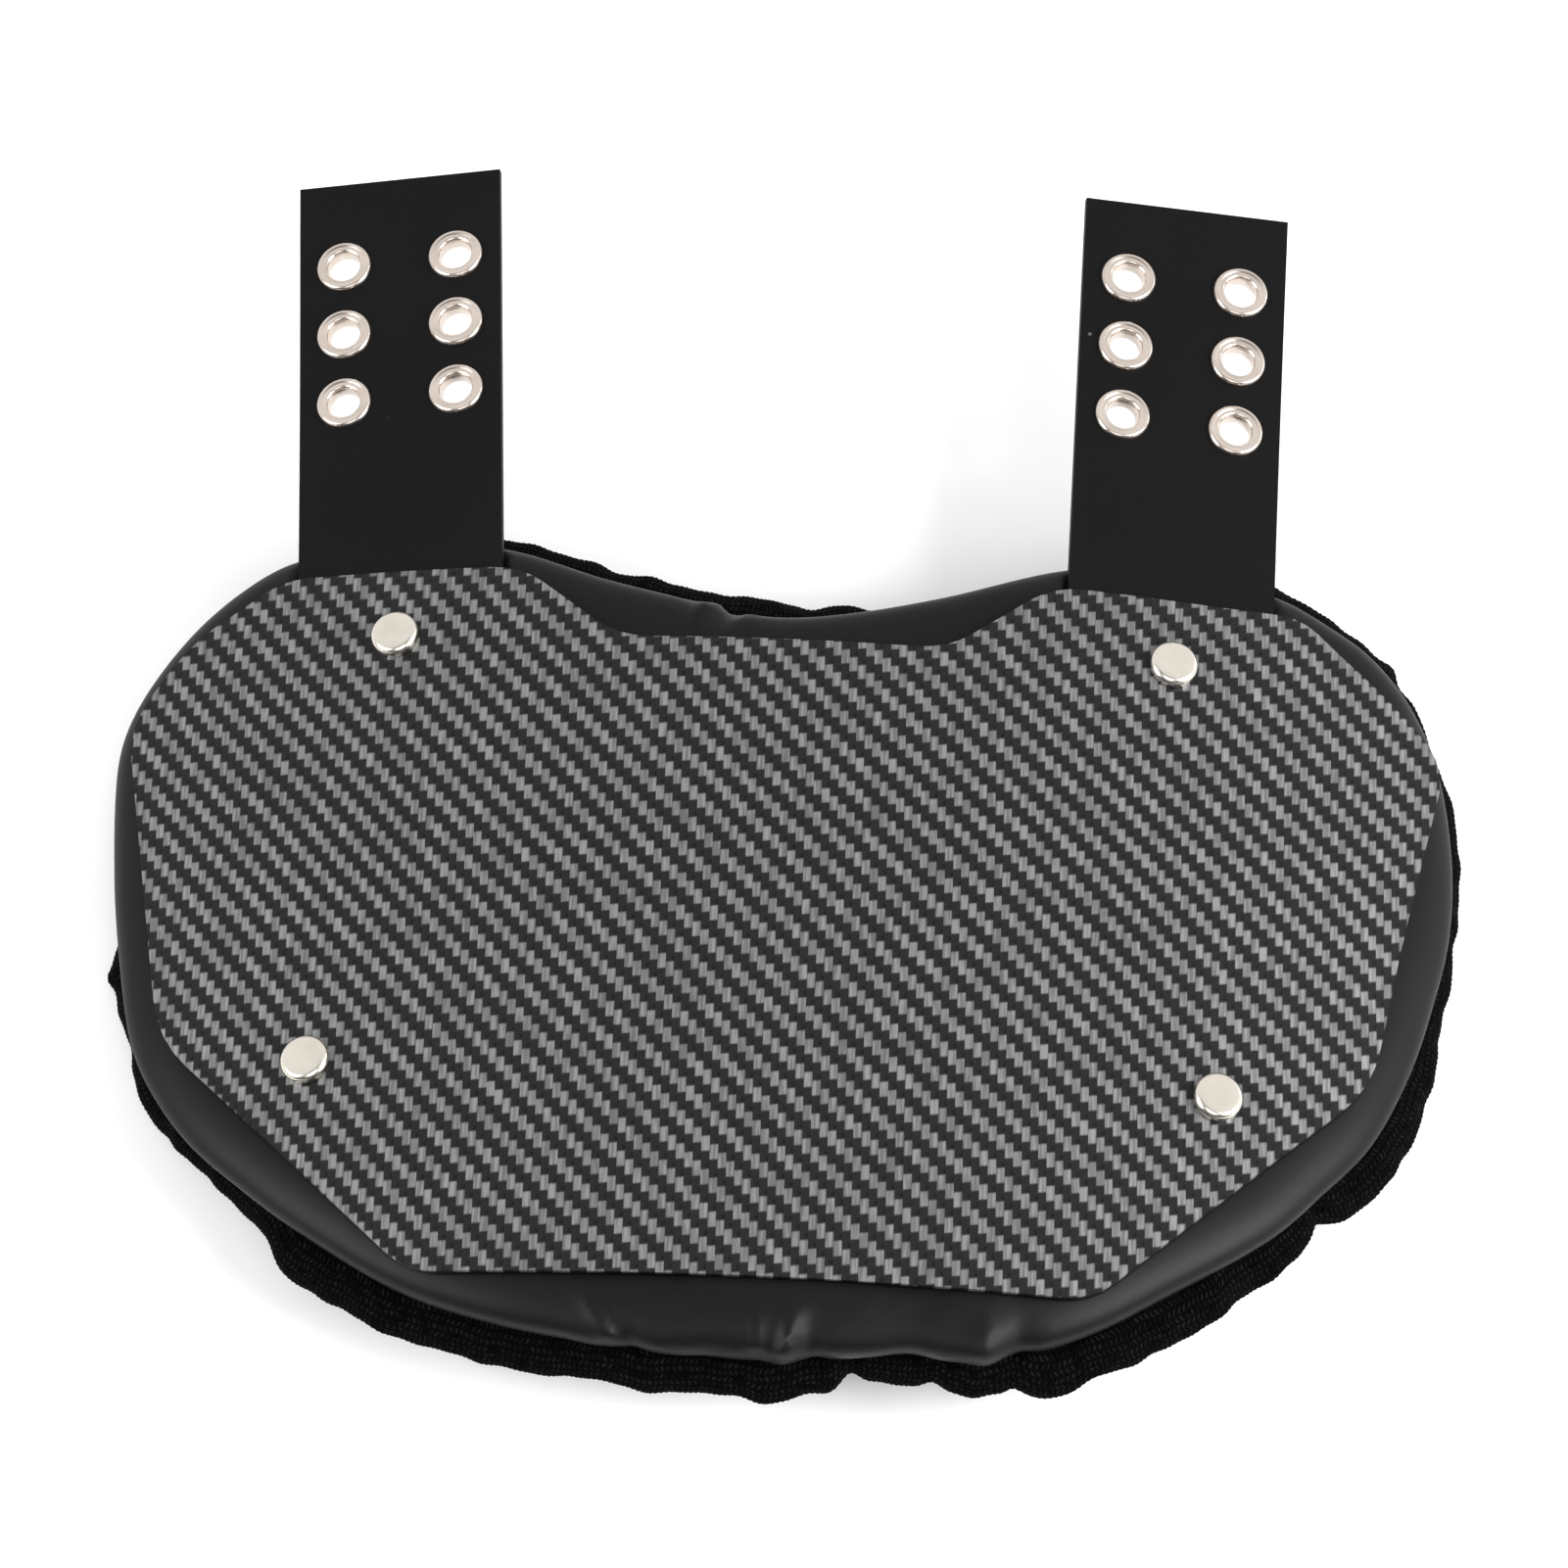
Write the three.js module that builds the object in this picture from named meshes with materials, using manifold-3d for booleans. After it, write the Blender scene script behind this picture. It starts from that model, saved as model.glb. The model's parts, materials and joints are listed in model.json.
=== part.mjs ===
// Football back plate: an arched shell over a foam pad, hung from two straps with eyelets.
// Millimetres, +Z up. It lies on its back, outer face up, with the straps towards +Y.
// The origin is on the floor, under the middle of the whole piece.
import * as THREE from "three";
import { mergeVertices } from "three/addons/utils/BufferGeometryUtils.js";
import Module from "manifold-3d";

const wasm = await Module();
wasm.setup();

// Clearance between pieces that touch
const GAP = 0.3;

// The arch that shell, pad and liner share, curved from side to side
const ARCH_RADIUS = 530;

// Outer plate
const PLATE_HALF_WIDTH = 179.5;
const PLATE_LENGTH = 203;
const PLATE_THICKNESS = 2.5;
const ARCH_FACETS = 28;
const CORNER_SEGMENTS = 4;
// Half of the outline, from the notch round to the bottom edge. Across is a share of the half
// width. Along and ease, the stretch that a rounded corner takes up, are shares of the length.
const PLATE_OUTLINE = [
  { corner: "notch floor", across: 0.245, along: 0.893, ease: 0.04 },
  { corner: "notch shoulder", across: 0.4, along: 1, ease: 0.04 },
  { corner: "top", across: 0.77, along: 1, ease: 0.035 },
  { corner: "diagonal", across: 0.888, along: 0.926, ease: 0.04 },
  { corner: "side", across: 1, along: 0.798, ease: 0.05 },
  { corner: "lower side", across: 0.895, along: 0.337, ease: 0.06 },
  { corner: "bottom", across: 0.483, along: 0, ease: 0.04 },
];

// Foam pad under the plate
const PAD_HALF_WIDTH = 187;
const PAD_LENGTH = 233;
const PAD_THICKNESS = 13;
const PAD_BELOW_PLATE = 18; // how far the pad reaches past the plate's bottom edge
const PAD_HEART = 0.5; // where the rings of the pad shrink to, as a share of its length
const RIM_POINTS = 72;
// Half of the outline, from the notch round to the bottom, as shares of half width and length
const PAD_OUTLINE = [
  { place: "notch", across: 0, along: 0.893 },
  { place: "notch side", across: 0.16, along: 0.912 },
  { place: "notch shoulder", across: 0.35, along: 0.963 },
  { place: "shoulder", across: 0.6, along: 1 },
  { place: "outer shoulder", across: 0.745, along: 0.99 },
  { place: "upper corner", across: 0.885, along: 0.923 },
  { place: "upper side", across: 0.965, along: 0.835 },
  { place: "side", across: 1, along: 0.712 },
  { place: "waist", across: 0.985, along: 0.575 },
  { place: "lower side", across: 0.93, along: 0.403 },
  { place: "lower corner", across: 0.81, along: 0.253 },
  { place: "bottom corner", across: 0.615, along: 0.129 },
  { place: "bottom side", across: 0.38, along: 0.035 },
  { place: "bottom", across: 0, along: 0 },
];
// Rings of the pad from its middle to its rim, on the outer face and back on the inner face.
// Reach is the share of the way out to the rim, depth the share of the thickness.
const PAD_RINGS = [
  { reach: 0.26, depth: 0 },
  { reach: 0.5, depth: 0 },
  { reach: 0.72, depth: 0 },
  { reach: 0.89, depth: 0.02 },
  { reach: 0.965, depth: 0.16 },
  { reach: 1, depth: 0.5 },
  { reach: 0.975, depth: 0.86 },
  { reach: 0.93, depth: 1 },
  { reach: 0.72, depth: 1 },
  { reach: 0.5, depth: 1 },
  { reach: 0.26, depth: 1 },
];

// Knit liner under the pad, a ruffled rim past the smooth cover
const LINER_THICKNESS = 11;
const LINER_PROUD = 7;
const LINER_SHIFT = 3.5; // sewn on off the middle, towards the right
const RUFFLE_DEPTH = 2.5;
// Waves of the rim: how many round it, and each wave's share of the ruffle depth
const RUFFLE_WAVES = [
  { count: 9, share: 0.55 },
  { count: 16, share: 0.45 },
];
const LINER_RINGS = [
  { reach: 0.26, proud: 0, depth: 0 },
  { reach: 0.5, proud: 0, depth: 0 },
  { reach: 0.72, proud: 0, depth: 0 },
  { reach: 0.93, proud: 0, depth: 0 },
  { reach: 1, proud: 0.55, depth: 0.08 },
  { reach: 1, proud: 1, depth: 0.42 },
  { reach: 1, proud: 0.55, depth: 0.85 },
  { reach: 0.95, proud: 0, depth: 1 },
  { reach: 0.72, proud: 0, depth: 1 },
  { reach: 0.5, proud: 0, depth: 1 },
  { reach: 0.26, proud: 0, depth: 1 },
];
const SETTLE = 3.5; // how much of the liner's lowest edge flattens where it rests

// Straps, each middled on its upper rivet and turned about it
const STRAP_WIDTH = 57.1;
const STRAP_THICKNESS = 2;
const STRAP_PAST_RIVET = 146.6;
const STRAP_BEHIND_RIVET = 26;
const LEFT_STRAP_SPLAY = 4.6; // degrees outwards
const RIGHT_STRAP_SPLAY = 1;

// Eyelets, two columns in each strap
const EYELET_COLUMN_PITCH = 31.7;
const EYELET_ROW_PITCH = 22;
const EYELET_ROWS = 3;
const EYELET_MIDDLE_FROM_END = 47;
const EYELET_BORE_RADIUS = 4;
const EYELET_WALL = 0.6;
const EYELET_FLANGE_RADIUS = 7.4;
const EYELET_FLANGE_HEIGHT = 1.3;
const EYELET_BACK_RADIUS = 6.6;
const EYELET_BACK_HEIGHT = 0.9;
const EYELET_SEGMENTS = 16;

// Cap rivets: the upper pair holds plate and strap, the lower pair the plate
const RIVET_HEAD_RADIUS = 6.15;
const RIVET_HEAD_HEIGHT = 2.6;
const RIVET_EDGE_ROUND = 0.8;
const RIVET_SHANK_RADIUS = 2.4;
const RIVET_CAP_RADIUS = 5.5;
const RIVET_CAP_HEIGHT = 1.2;
const RIVET_SEGMENTS = 20;
const UPPER_RIVET_FROM_SIDE = 74.8;
const UPPER_RIVET_BELOW_TOP = 20;
const LOWER_RIVET_FROM_SIDE = 61.2;
const LOWER_RIVET_ABOVE_BOTTOM = 59;

// Worked out from these. Places along the plate run from its bottom edge.
const SIDES = [
  { name: "left", sign: -1, splay: THREE.MathUtils.degToRad(LEFT_STRAP_SPLAY) },
  { name: "right", sign: 1, splay: THREE.MathUtils.degToRad(RIGHT_STRAP_SPLAY) },
];
const UPPER_RIVET_ACROSS = PLATE_HALF_WIDTH - UPPER_RIVET_FROM_SIDE;
const LOWER_RIVET_ACROSS = PLATE_HALF_WIDTH - LOWER_RIVET_FROM_SIDE;
const UPPER_RIVET_ALONG = PLATE_LENGTH - UPPER_RIVET_BELOW_TOP;
const STRAP_HALF_WIDTH = STRAP_WIDTH / 2;
const STRAP_LENGTH = STRAP_PAST_RIVET + STRAP_BEHIND_RIVET;
const PAD_TOP = -(PLATE_THICKNESS + GAP);
const LINER_TOP = PAD_TOP - PAD_THICKNESS - GAP;
const EYELET_OUTER_RADIUS = EYELET_BORE_RADIUS + EYELET_WALL;

/** Height of a strap's outer face: a flat strap clears the curved plate out to its corners. */
function strapFace() {
  const splays = SIDES.map(({ splay }) => Math.abs(Math.sin(splay)));
  const reach = STRAP_HALF_WIDTH + STRAP_BEHIND_RIVET * Math.max(...splays);
  const under = ARCH_RADIUS - PLATE_THICKNESS;
  return -(PLATE_THICKNESS + GAP + under - Math.sqrt(under ** 2 - reach ** 2));
}

const STRAP_FACE = strapFace();

const FINISHES = {
  plate: { color: 0x3a3b3d, roughness: 0.35, metalness: 0.1 },
  strap: { color: 0x1b1b1c, roughness: 0.5, metalness: 0 },
  pad: { color: 0x1d1e20, roughness: 0.6, metalness: 0 },
  liner: { color: 0x0d0d0e, roughness: 0.95, metalness: 0 },
  metal: { color: 0xcfc8bf, roughness: 0.25, metalness: 1 },
};

/** Point on the arch, at a height above the plate's outer face. */
function onArch(across, along, height) {
  const angle = across / ARCH_RADIUS;
  const radius = ARCH_RADIUS + height;
  const rise = radius * Math.cos(angle) - ARCH_RADIUS;
  return new THREE.Vector3(radius * Math.sin(angle), along, rise);
}

/** Frame that lies flat on the arch at that point, its z pointing out. */
function seatOnArch(across, along, height) {
  const seat = new THREE.Matrix4().makeRotationY(across / ARCH_RADIUS);
  return seat.setPosition(onArch(across, along, height));
}

/** Closed geometry as a solid that can be cut. */
function solidOf(geometry) {
  const bare = geometry.clone();
  bare.deleteAttribute("normal");
  bare.deleteAttribute("uv");
  const merged = mergeVertices(bare, 1e-4);
  return new wasm.Manifold(
    new wasm.Mesh({
      numProp: 3,
      vertProperties: new Float32Array(merged.attributes.position.array),
      triVerts: new Uint32Array(merged.index.array),
    }),
  );
}

/** Cut solid back as three.js geometry. */
function geometryOf(solid) {
  const mesh = solid.getMesh();
  const geometry = new THREE.BufferGeometry();
  geometry.setAttribute("position", new THREE.BufferAttribute(mesh.vertProperties, 3));
  geometry.setIndex(new THREE.BufferAttribute(mesh.triVerts, 1));
  geometry.computeVertexNormals();
  return geometry;
}

/** Body less each of the tools. */
function cut(body, tools) {
  return tools.reduce((left, tool) => left.subtract(solidOf(tool)), solidOf(body));
}

/** Named mesh in one of the finishes. */
function piece(name, geometry, finish) {
  const mesh = new THREE.Mesh(geometry, new THREE.MeshStandardMaterial(FINISHES[finish]));
  mesh.name = name;
  return mesh;
}

/** Cylinder along z, from one height to another. */
function cylinder(radius, low, high, segments) {
  const geometry = new THREE.CylinderGeometry(radius, radius, high - low, segments);
  geometry.rotateX(Math.PI / 2);
  return geometry.translate(0, 0, (low + high) / 2);
}

/** Profile of radius and height pairs turned about z. */
function turned(profile, segments) {
  const points = profile.map(([radius, height]) => new THREE.Vector2(radius, height));
  return new THREE.LatheGeometry(points, segments).rotateX(Math.PI / 2);
}

/** Closed outline with eased corners, from half of it mirrored over the y axis. */
function easedOutline(half) {
  const mirrored = half.map((point) => ({ ...point, x: -point.x })).reverse();
  const corners = [...half, ...mirrored];
  const shape = new THREE.Shape();
  corners.forEach((corner, i) => {
    const here = new THREE.Vector2(corner.x, corner.y);
    const before = corners[(i + corners.length - 1) % corners.length];
    const after = corners[(i + 1) % corners.length];
    const towards = (other) => {
      const way = new THREE.Vector2(other.x, other.y).sub(here);
      const stretch = Math.min(corner.ease, way.length() / 2);
      return way.setLength(stretch).add(here);
    };
    const entry = towards(before);
    const exit = towards(after);
    if (i === 0) shape.moveTo(entry.x, entry.y);
    else shape.lineTo(entry.x, entry.y);
    shape.quadraticCurveTo(here.x, here.y, exit.x, exit.y);
  });
  shape.closePath();
  return shape.getPoints(CORNER_SEGMENTS);
}

/** Band of the arch between two heights, longer than the plate at both ends. */
function archBand(halfWidth, low, high, from, to) {
  const reach = halfWidth / ARCH_RADIUS;
  const arc = (height, share) => {
    const angle = reach * (2 * share - 1);
    const radius = ARCH_RADIUS + height;
    return new THREE.Vector2(radius * Math.sin(angle), radius * Math.cos(angle) - ARCH_RADIUS);
  };
  const steps = Array.from({ length: ARCH_FACETS + 1 }, (_, i) => i / ARCH_FACETS);
  const outer = steps.map((share) => arc(high, share));
  const inner = steps.map((share) => arc(low, 1 - share));
  const section = new THREE.Shape([...outer, ...inner]);
  const band = new THREE.ExtrudeGeometry(section, { depth: to - from, bevelEnabled: false });
  return band.rotateX(Math.PI / 2).translate(0, to, 0);
}

/** Where each rivet stands: across, along and the depth of what it grips. */
function rivetPlaces() {
  const upperGrip = -STRAP_FACE + STRAP_THICKNESS;
  return SIDES.flatMap(({ name, sign }) => [
    {
      name: `rivet_upper_${name}`,
      across: sign * UPPER_RIVET_ACROSS,
      along: UPPER_RIVET_ALONG,
      grip: upperGrip,
    },
    {
      name: `rivet_lower_${name}`,
      across: sign * LOWER_RIVET_ACROSS,
      along: LOWER_RIVET_ABOVE_BOTTOM,
      grip: PLATE_THICKNESS,
    },
  ]);
}

/** Tool that clears a rivet's shank through plate and strap. */
function shankHole({ across, along, grip }) {
  const hole = cylinder(RIVET_SHANK_RADIUS + GAP, -2 * grip, 2 * grip, RIVET_SEGMENTS);
  return hole.applyMatrix4(seatOnArch(across, along, 0));
}

function makePlate() {
  const half = PLATE_OUTLINE.map(({ across, along, ease }) => ({
    x: across * PLATE_HALF_WIDTH,
    y: along * PLATE_LENGTH,
    ease: ease * PLATE_LENGTH,
  }));
  const seenFromAbove = easedOutline(half).map(({ x, y }) => {
    const { x: bentX } = onArch(x, y, 0);
    return new THREE.Vector2(bentX, y);
  });
  const tall = 2 * ARCH_RADIUS;
  const prism = new THREE.ExtrudeGeometry(new THREE.Shape(seenFromAbove), {
    depth: tall,
    bevelEnabled: false,
  }).translate(0, 0, -tall / 2);
  const margin = PLATE_THICKNESS;
  const band = archBand(
    PLATE_HALF_WIDTH + margin,
    -PLATE_THICKNESS,
    0,
    -margin,
    PLATE_LENGTH + margin,
  );
  const shell = geometryOf(solidOf(band).intersect(solidOf(prism)));
  const holes = rivetPlaces().map(shankHole);
  return piece("outer_plate", geometryOf(cut(shell, holes)), "plate");
}

function makeRivet(place) {
  const { name, across, along, grip } = place;
  const top = GAP + RIVET_HEAD_HEIGHT;
  const flat = RIVET_HEAD_RADIUS - RIVET_EDGE_ROUND;
  const ease = 0.3 * RIVET_EDGE_ROUND;
  const capTop = -(grip + GAP);
  const profile = [
    [0, capTop - RIVET_CAP_HEIGHT],
    [RIVET_CAP_RADIUS, capTop - RIVET_CAP_HEIGHT],
    [RIVET_CAP_RADIUS, capTop],
    [RIVET_SHANK_RADIUS, capTop],
    [RIVET_SHANK_RADIUS, GAP],
    [RIVET_HEAD_RADIUS, GAP],
    [RIVET_HEAD_RADIUS, top - RIVET_EDGE_ROUND],
    [RIVET_HEAD_RADIUS - ease, top - ease],
    [flat, top],
    [0, top],
  ];
  const mesh = piece(name, turned(profile, RIVET_SEGMENTS), "metal");
  mesh.applyMatrix4(seatOnArch(across, along, 0));
  return mesh;
}

/** Frame of a strap's outer face at its rivet, y running out to the cut end. */
function strapSeat({ sign, splay }) {
  const seat = seatOnArch(sign * UPPER_RIVET_ACROSS, UPPER_RIVET_ALONG, STRAP_FACE);
  return seat.multiply(new THREE.Matrix4().makeRotationZ(-sign * splay));
}

/** Middles of a strap's eyelets in the strap's own frame, inner column first. */
function eyeletPlaces({ sign }) {
  const columns = [
    { column: "inner", x: (-sign * EYELET_COLUMN_PITCH) / 2 },
    { column: "outer", x: (sign * EYELET_COLUMN_PITCH) / 2 },
  ];
  const middleRow = (EYELET_ROWS - 1) / 2;
  return columns.flatMap(({ column, x }) =>
    Array.from({ length: EYELET_ROWS }, (_, row) => ({
      column,
      row: row + 1,
      x,
      y: STRAP_PAST_RIVET - EYELET_MIDDLE_FROM_END + (middleRow - row) * EYELET_ROW_PITCH,
    })),
  );
}

/** Rolled eyelet with its flange on the strap's outer face, which is at height zero. */
function eyeletGeometry() {
  const crest = GAP + EYELET_FLANGE_HEIGHT;
  const back = -(STRAP_THICKNESS + GAP);
  const span = EYELET_FLANGE_RADIUS - EYELET_BORE_RADIUS;
  const profile = [
    [EYELET_BORE_RADIUS, back - EYELET_BACK_HEIGHT],
    [EYELET_BACK_RADIUS, back - EYELET_BACK_HEIGHT],
    [EYELET_BACK_RADIUS, back],
    [EYELET_OUTER_RADIUS, back],
    [EYELET_OUTER_RADIUS, GAP],
    [EYELET_FLANGE_RADIUS, GAP],
    [EYELET_FLANGE_RADIUS - 0.15 * span, GAP + 0.7 * EYELET_FLANGE_HEIGHT],
    [EYELET_BORE_RADIUS + 0.5 * span, crest],
    [EYELET_BORE_RADIUS + 0.15 * span, GAP + 0.75 * EYELET_FLANGE_HEIGHT],
    [EYELET_BORE_RADIUS, 0],
    [EYELET_BORE_RADIUS, back - EYELET_BACK_HEIGHT],
  ];
  return turned(profile, EYELET_SEGMENTS);
}

function makeStrap(side) {
  const outline = new THREE.Shape([
    new THREE.Vector2(-STRAP_HALF_WIDTH, -STRAP_BEHIND_RIVET),
    new THREE.Vector2(STRAP_HALF_WIDTH, -STRAP_BEHIND_RIVET),
    new THREE.Vector2(STRAP_HALF_WIDTH, STRAP_PAST_RIVET),
    new THREE.Vector2(-STRAP_HALF_WIDTH, STRAP_PAST_RIVET),
  ]);
  for (const { x, y } of eyeletPlaces(side)) {
    const hole = new THREE.Path();
    hole.absarc(x, y, EYELET_OUTER_RADIUS + GAP, 0, 2 * Math.PI);
    outline.holes.push(hole);
  }
  const sheet = new THREE.ExtrudeGeometry(outline, {
    depth: STRAP_THICKNESS,
    bevelEnabled: false,
    curveSegments: EYELET_SEGMENTS,
  }).translate(0, 0, -STRAP_THICKNESS);
  const shank = RIVET_SHANK_RADIUS + GAP;
  const hole = cylinder(shank, -2 * STRAP_THICKNESS, STRAP_THICKNESS, RIVET_SEGMENTS);
  const strap = new THREE.Group();
  strap.add(piece(`strap_${side.name}`, geometryOf(cut(sheet, [hole])), "strap"));
  for (const { column, row, x, y } of eyeletPlaces(side)) {
    const eyelet = piece(`eyelet_${side.name}_${column}_${row}`, eyeletGeometry(), "metal");
    eyelet.position.set(x, y, 0);
    strap.add(eyelet);
  }
  strap.applyMatrix4(strapSeat(side));
  return strap;
}

/** Points of the pad's rim in the flat, evenly spaced, starting at the notch. */
function padRim() {
  const half = PAD_OUTLINE.map(({ across, along }) => ({
    x: across * PAD_HALF_WIDTH,
    y: along * PAD_LENGTH - PAD_BELOW_PLATE,
  }));
  const mirrored = half.slice(1, -1).reverse().map(({ x, y }) => ({ x: -x, y }));
  const points = [...half, ...mirrored].map(({ x, y }) => new THREE.Vector3(x, y, 0));
  const rim = new THREE.CatmullRomCurve3(points, true, "centripetal");
  return rim.getSpacedPoints(RIM_POINTS).slice(0, RIM_POINTS);
}

/** Closed lens through the rings, which all run round the rim and follow the arch. */
function ringLoft(rings, top, thickness, proudAt) {
  const heart = new THREE.Vector3(0, PAD_HEART * PAD_LENGTH - PAD_BELOW_PLATE, 0);
  const rim = padRim();
  const positions = [];
  const addPoint = (point, depth) => {
    positions.push(...onArch(point.x, point.y, top - depth * thickness).toArray());
  };
  addPoint(heart, rings[0].depth);
  for (const { reach, proud = 0, depth } of rings) {
    rim.forEach((edge, i) => {
      const outwards = edge.clone().sub(heart);
      const point = heart.clone().addScaledVector(outwards, reach);
      outwards.normalize();
      addPoint(point.addScaledVector(outwards, proud * proudAt(i, outwards)), depth);
    });
  }
  addPoint(heart, rings.at(-1).depth);
  const last = positions.length / 3 - 1;
  const index = [];
  const vertex = (ring, i) => 1 + ring * RIM_POINTS + (i % RIM_POINTS);
  for (let i = 0; i < RIM_POINTS; i++) {
    index.push(0, vertex(0, i + 1), vertex(0, i));
    for (let ring = 0; ring < rings.length - 1; ring++) {
      const [a, b] = [vertex(ring, i), vertex(ring, i + 1)];
      const [c, d] = [vertex(ring + 1, i), vertex(ring + 1, i + 1)];
      index.push(a, b, d, a, d, c);
    }
    const ring = rings.length - 1;
    index.push(last, vertex(ring, i), vertex(ring, i + 1));
  }
  const geometry = new THREE.BufferGeometry();
  geometry.setAttribute("position", new THREE.Float32BufferAttribute(positions, 3));
  return geometry.setIndex(index);
}

/** Room in the pad for a strap and all above it. */
function strapPocket(side) {
  const height = STRAP_THICKNESS + PLATE_THICKNESS + PAD_THICKNESS;
  const pocket = new THREE.BoxGeometry(STRAP_WIDTH + 2 * GAP, STRAP_LENGTH + 2 * GAP, height);
  const low = -(STRAP_THICKNESS + GAP);
  pocket.translate(0, STRAP_LENGTH / 2 - STRAP_BEHIND_RIVET, low + height / 2);
  return pocket.applyMatrix4(strapSeat(side));
}

/** Room in the pad for a rivet's back cap. */
function capPocket({ across, along, grip }) {
  const low = -(grip + RIVET_CAP_HEIGHT + 2 * GAP);
  const pocket = cylinder(RIVET_CAP_RADIUS + GAP, low, PLATE_THICKNESS, RIVET_SEGMENTS);
  return pocket.applyMatrix4(seatOnArch(across, along, 0));
}

function makePad() {
  const lens = ringLoft(PAD_RINGS, PAD_TOP, PAD_THICKNESS, () => 0);
  const pockets = [...SIDES.map(strapPocket), ...rivetPlaces().map(capPocket)];
  return piece("pad_cushion", geometryOf(cut(lens, pockets)), "pad");
}

/** How far the liner's rim stands out past the pad's, in that direction. */
function linerReach(i, outwards) {
  const turn = (2 * Math.PI * i) / RIM_POINTS;
  const waves = RUFFLE_WAVES.map(({ count, share }) => share * Math.cos(count * turn));
  const ruffle = RUFFLE_DEPTH * waves.reduce((sum, wave) => sum + wave, 0);
  return LINER_PROUD + LINER_SHIFT * outwards.x + ruffle;
}

/** Liner, flattened where its lowest edges rest. */
function makeLiner() {
  const lens = ringLoft(LINER_RINGS, LINER_TOP, LINER_THICKNESS, linerReach);
  lens.computeBoundingBox();
  const size = lens.boundingBox.getSize(new THREE.Vector3());
  const middle = lens.boundingBox.getCenter(new THREE.Vector3());
  const floor = lens.boundingBox.min.z + SETTLE;
  const under = new THREE.BoxGeometry(2 * size.x, 2 * size.y, size.z);
  under.translate(middle.x, middle.y, floor - size.z / 2);
  return piece("mesh_liner", geometryOf(cut(lens, [under])), "liner");
}

const body = new THREE.Group();
body.add(makePlate(), makePad(), makeLiner());
body.add(...SIDES.map(makeStrap), ...rivetPlaces().map(makeRivet));
const reach = new THREE.Box3().setFromObject(body, true);
const middle = reach.getCenter(new THREE.Vector3());
body.position.set(-middle.x, -middle.y, -reach.min.z);

const backPlate = new THREE.Group();
backPlate.add(body);
export default backPlate;
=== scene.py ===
"""Football back plate, lying on its back with the outer face up and the straps pointing away.

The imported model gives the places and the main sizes. Lengths in the dataclass fields are
millimetres and meshes are in metres. "Across" runs over the arch from its middle to the right,
"along" runs from the plate's bottom edge towards the straps, and "height" stands out from the
plate's outer face.
"""

import json
import logging
import math
from collections.abc import Callable, Iterator, Mapping, Sequence
from contextlib import contextmanager
from dataclasses import dataclass, field
from enum import Enum
from typing import Any

import bpy
import numpy as np
from mathutils import Matrix, Vector


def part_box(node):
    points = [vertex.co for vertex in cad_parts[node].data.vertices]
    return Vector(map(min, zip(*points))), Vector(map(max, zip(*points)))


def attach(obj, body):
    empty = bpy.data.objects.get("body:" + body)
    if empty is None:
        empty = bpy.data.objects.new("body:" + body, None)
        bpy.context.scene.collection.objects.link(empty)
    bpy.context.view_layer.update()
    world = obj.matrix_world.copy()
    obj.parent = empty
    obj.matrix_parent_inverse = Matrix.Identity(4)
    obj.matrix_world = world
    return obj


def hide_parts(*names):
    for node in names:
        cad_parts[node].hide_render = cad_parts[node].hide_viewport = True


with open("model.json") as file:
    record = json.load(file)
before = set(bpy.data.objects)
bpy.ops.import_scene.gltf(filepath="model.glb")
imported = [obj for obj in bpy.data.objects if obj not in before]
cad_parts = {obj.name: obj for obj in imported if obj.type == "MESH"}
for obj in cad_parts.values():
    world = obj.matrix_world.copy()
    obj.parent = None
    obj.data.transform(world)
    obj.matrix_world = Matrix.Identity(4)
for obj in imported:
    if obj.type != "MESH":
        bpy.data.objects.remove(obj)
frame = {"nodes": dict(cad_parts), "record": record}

MM = 0.001
FULL_TURN = 2 * math.pi
BODY = "root"
EMPTY: Mapping[str, Any] = {}

Pair = tuple[float, float]
Triple = tuple[float, float, float]

log = logging.getLogger("back_plate")


class Side(Enum):
    """Side of the back plate as seen from above with the straps away."""

    LEFT = "left"
    RIGHT = "right"


class Select(Enum):
    """What a pick in edit mode selects."""

    POINTS = "VERT"
    FACES = "FACE"


def smoothstep(low: float, high: float, value: np.ndarray) -> np.ndarray:
    """Eased ramp over an array.

    Args:
        low: Value where the ramp leaves 0.
        high: Value where the ramp reaches 1.
        value: Values to ease.

    Returns:
        Numbers from 0 to 1.
    """
    share = np.clip((value - low) / (high - low), 0.0, 1.0)
    return share * share * (3.0 - 2.0 * share)


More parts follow.
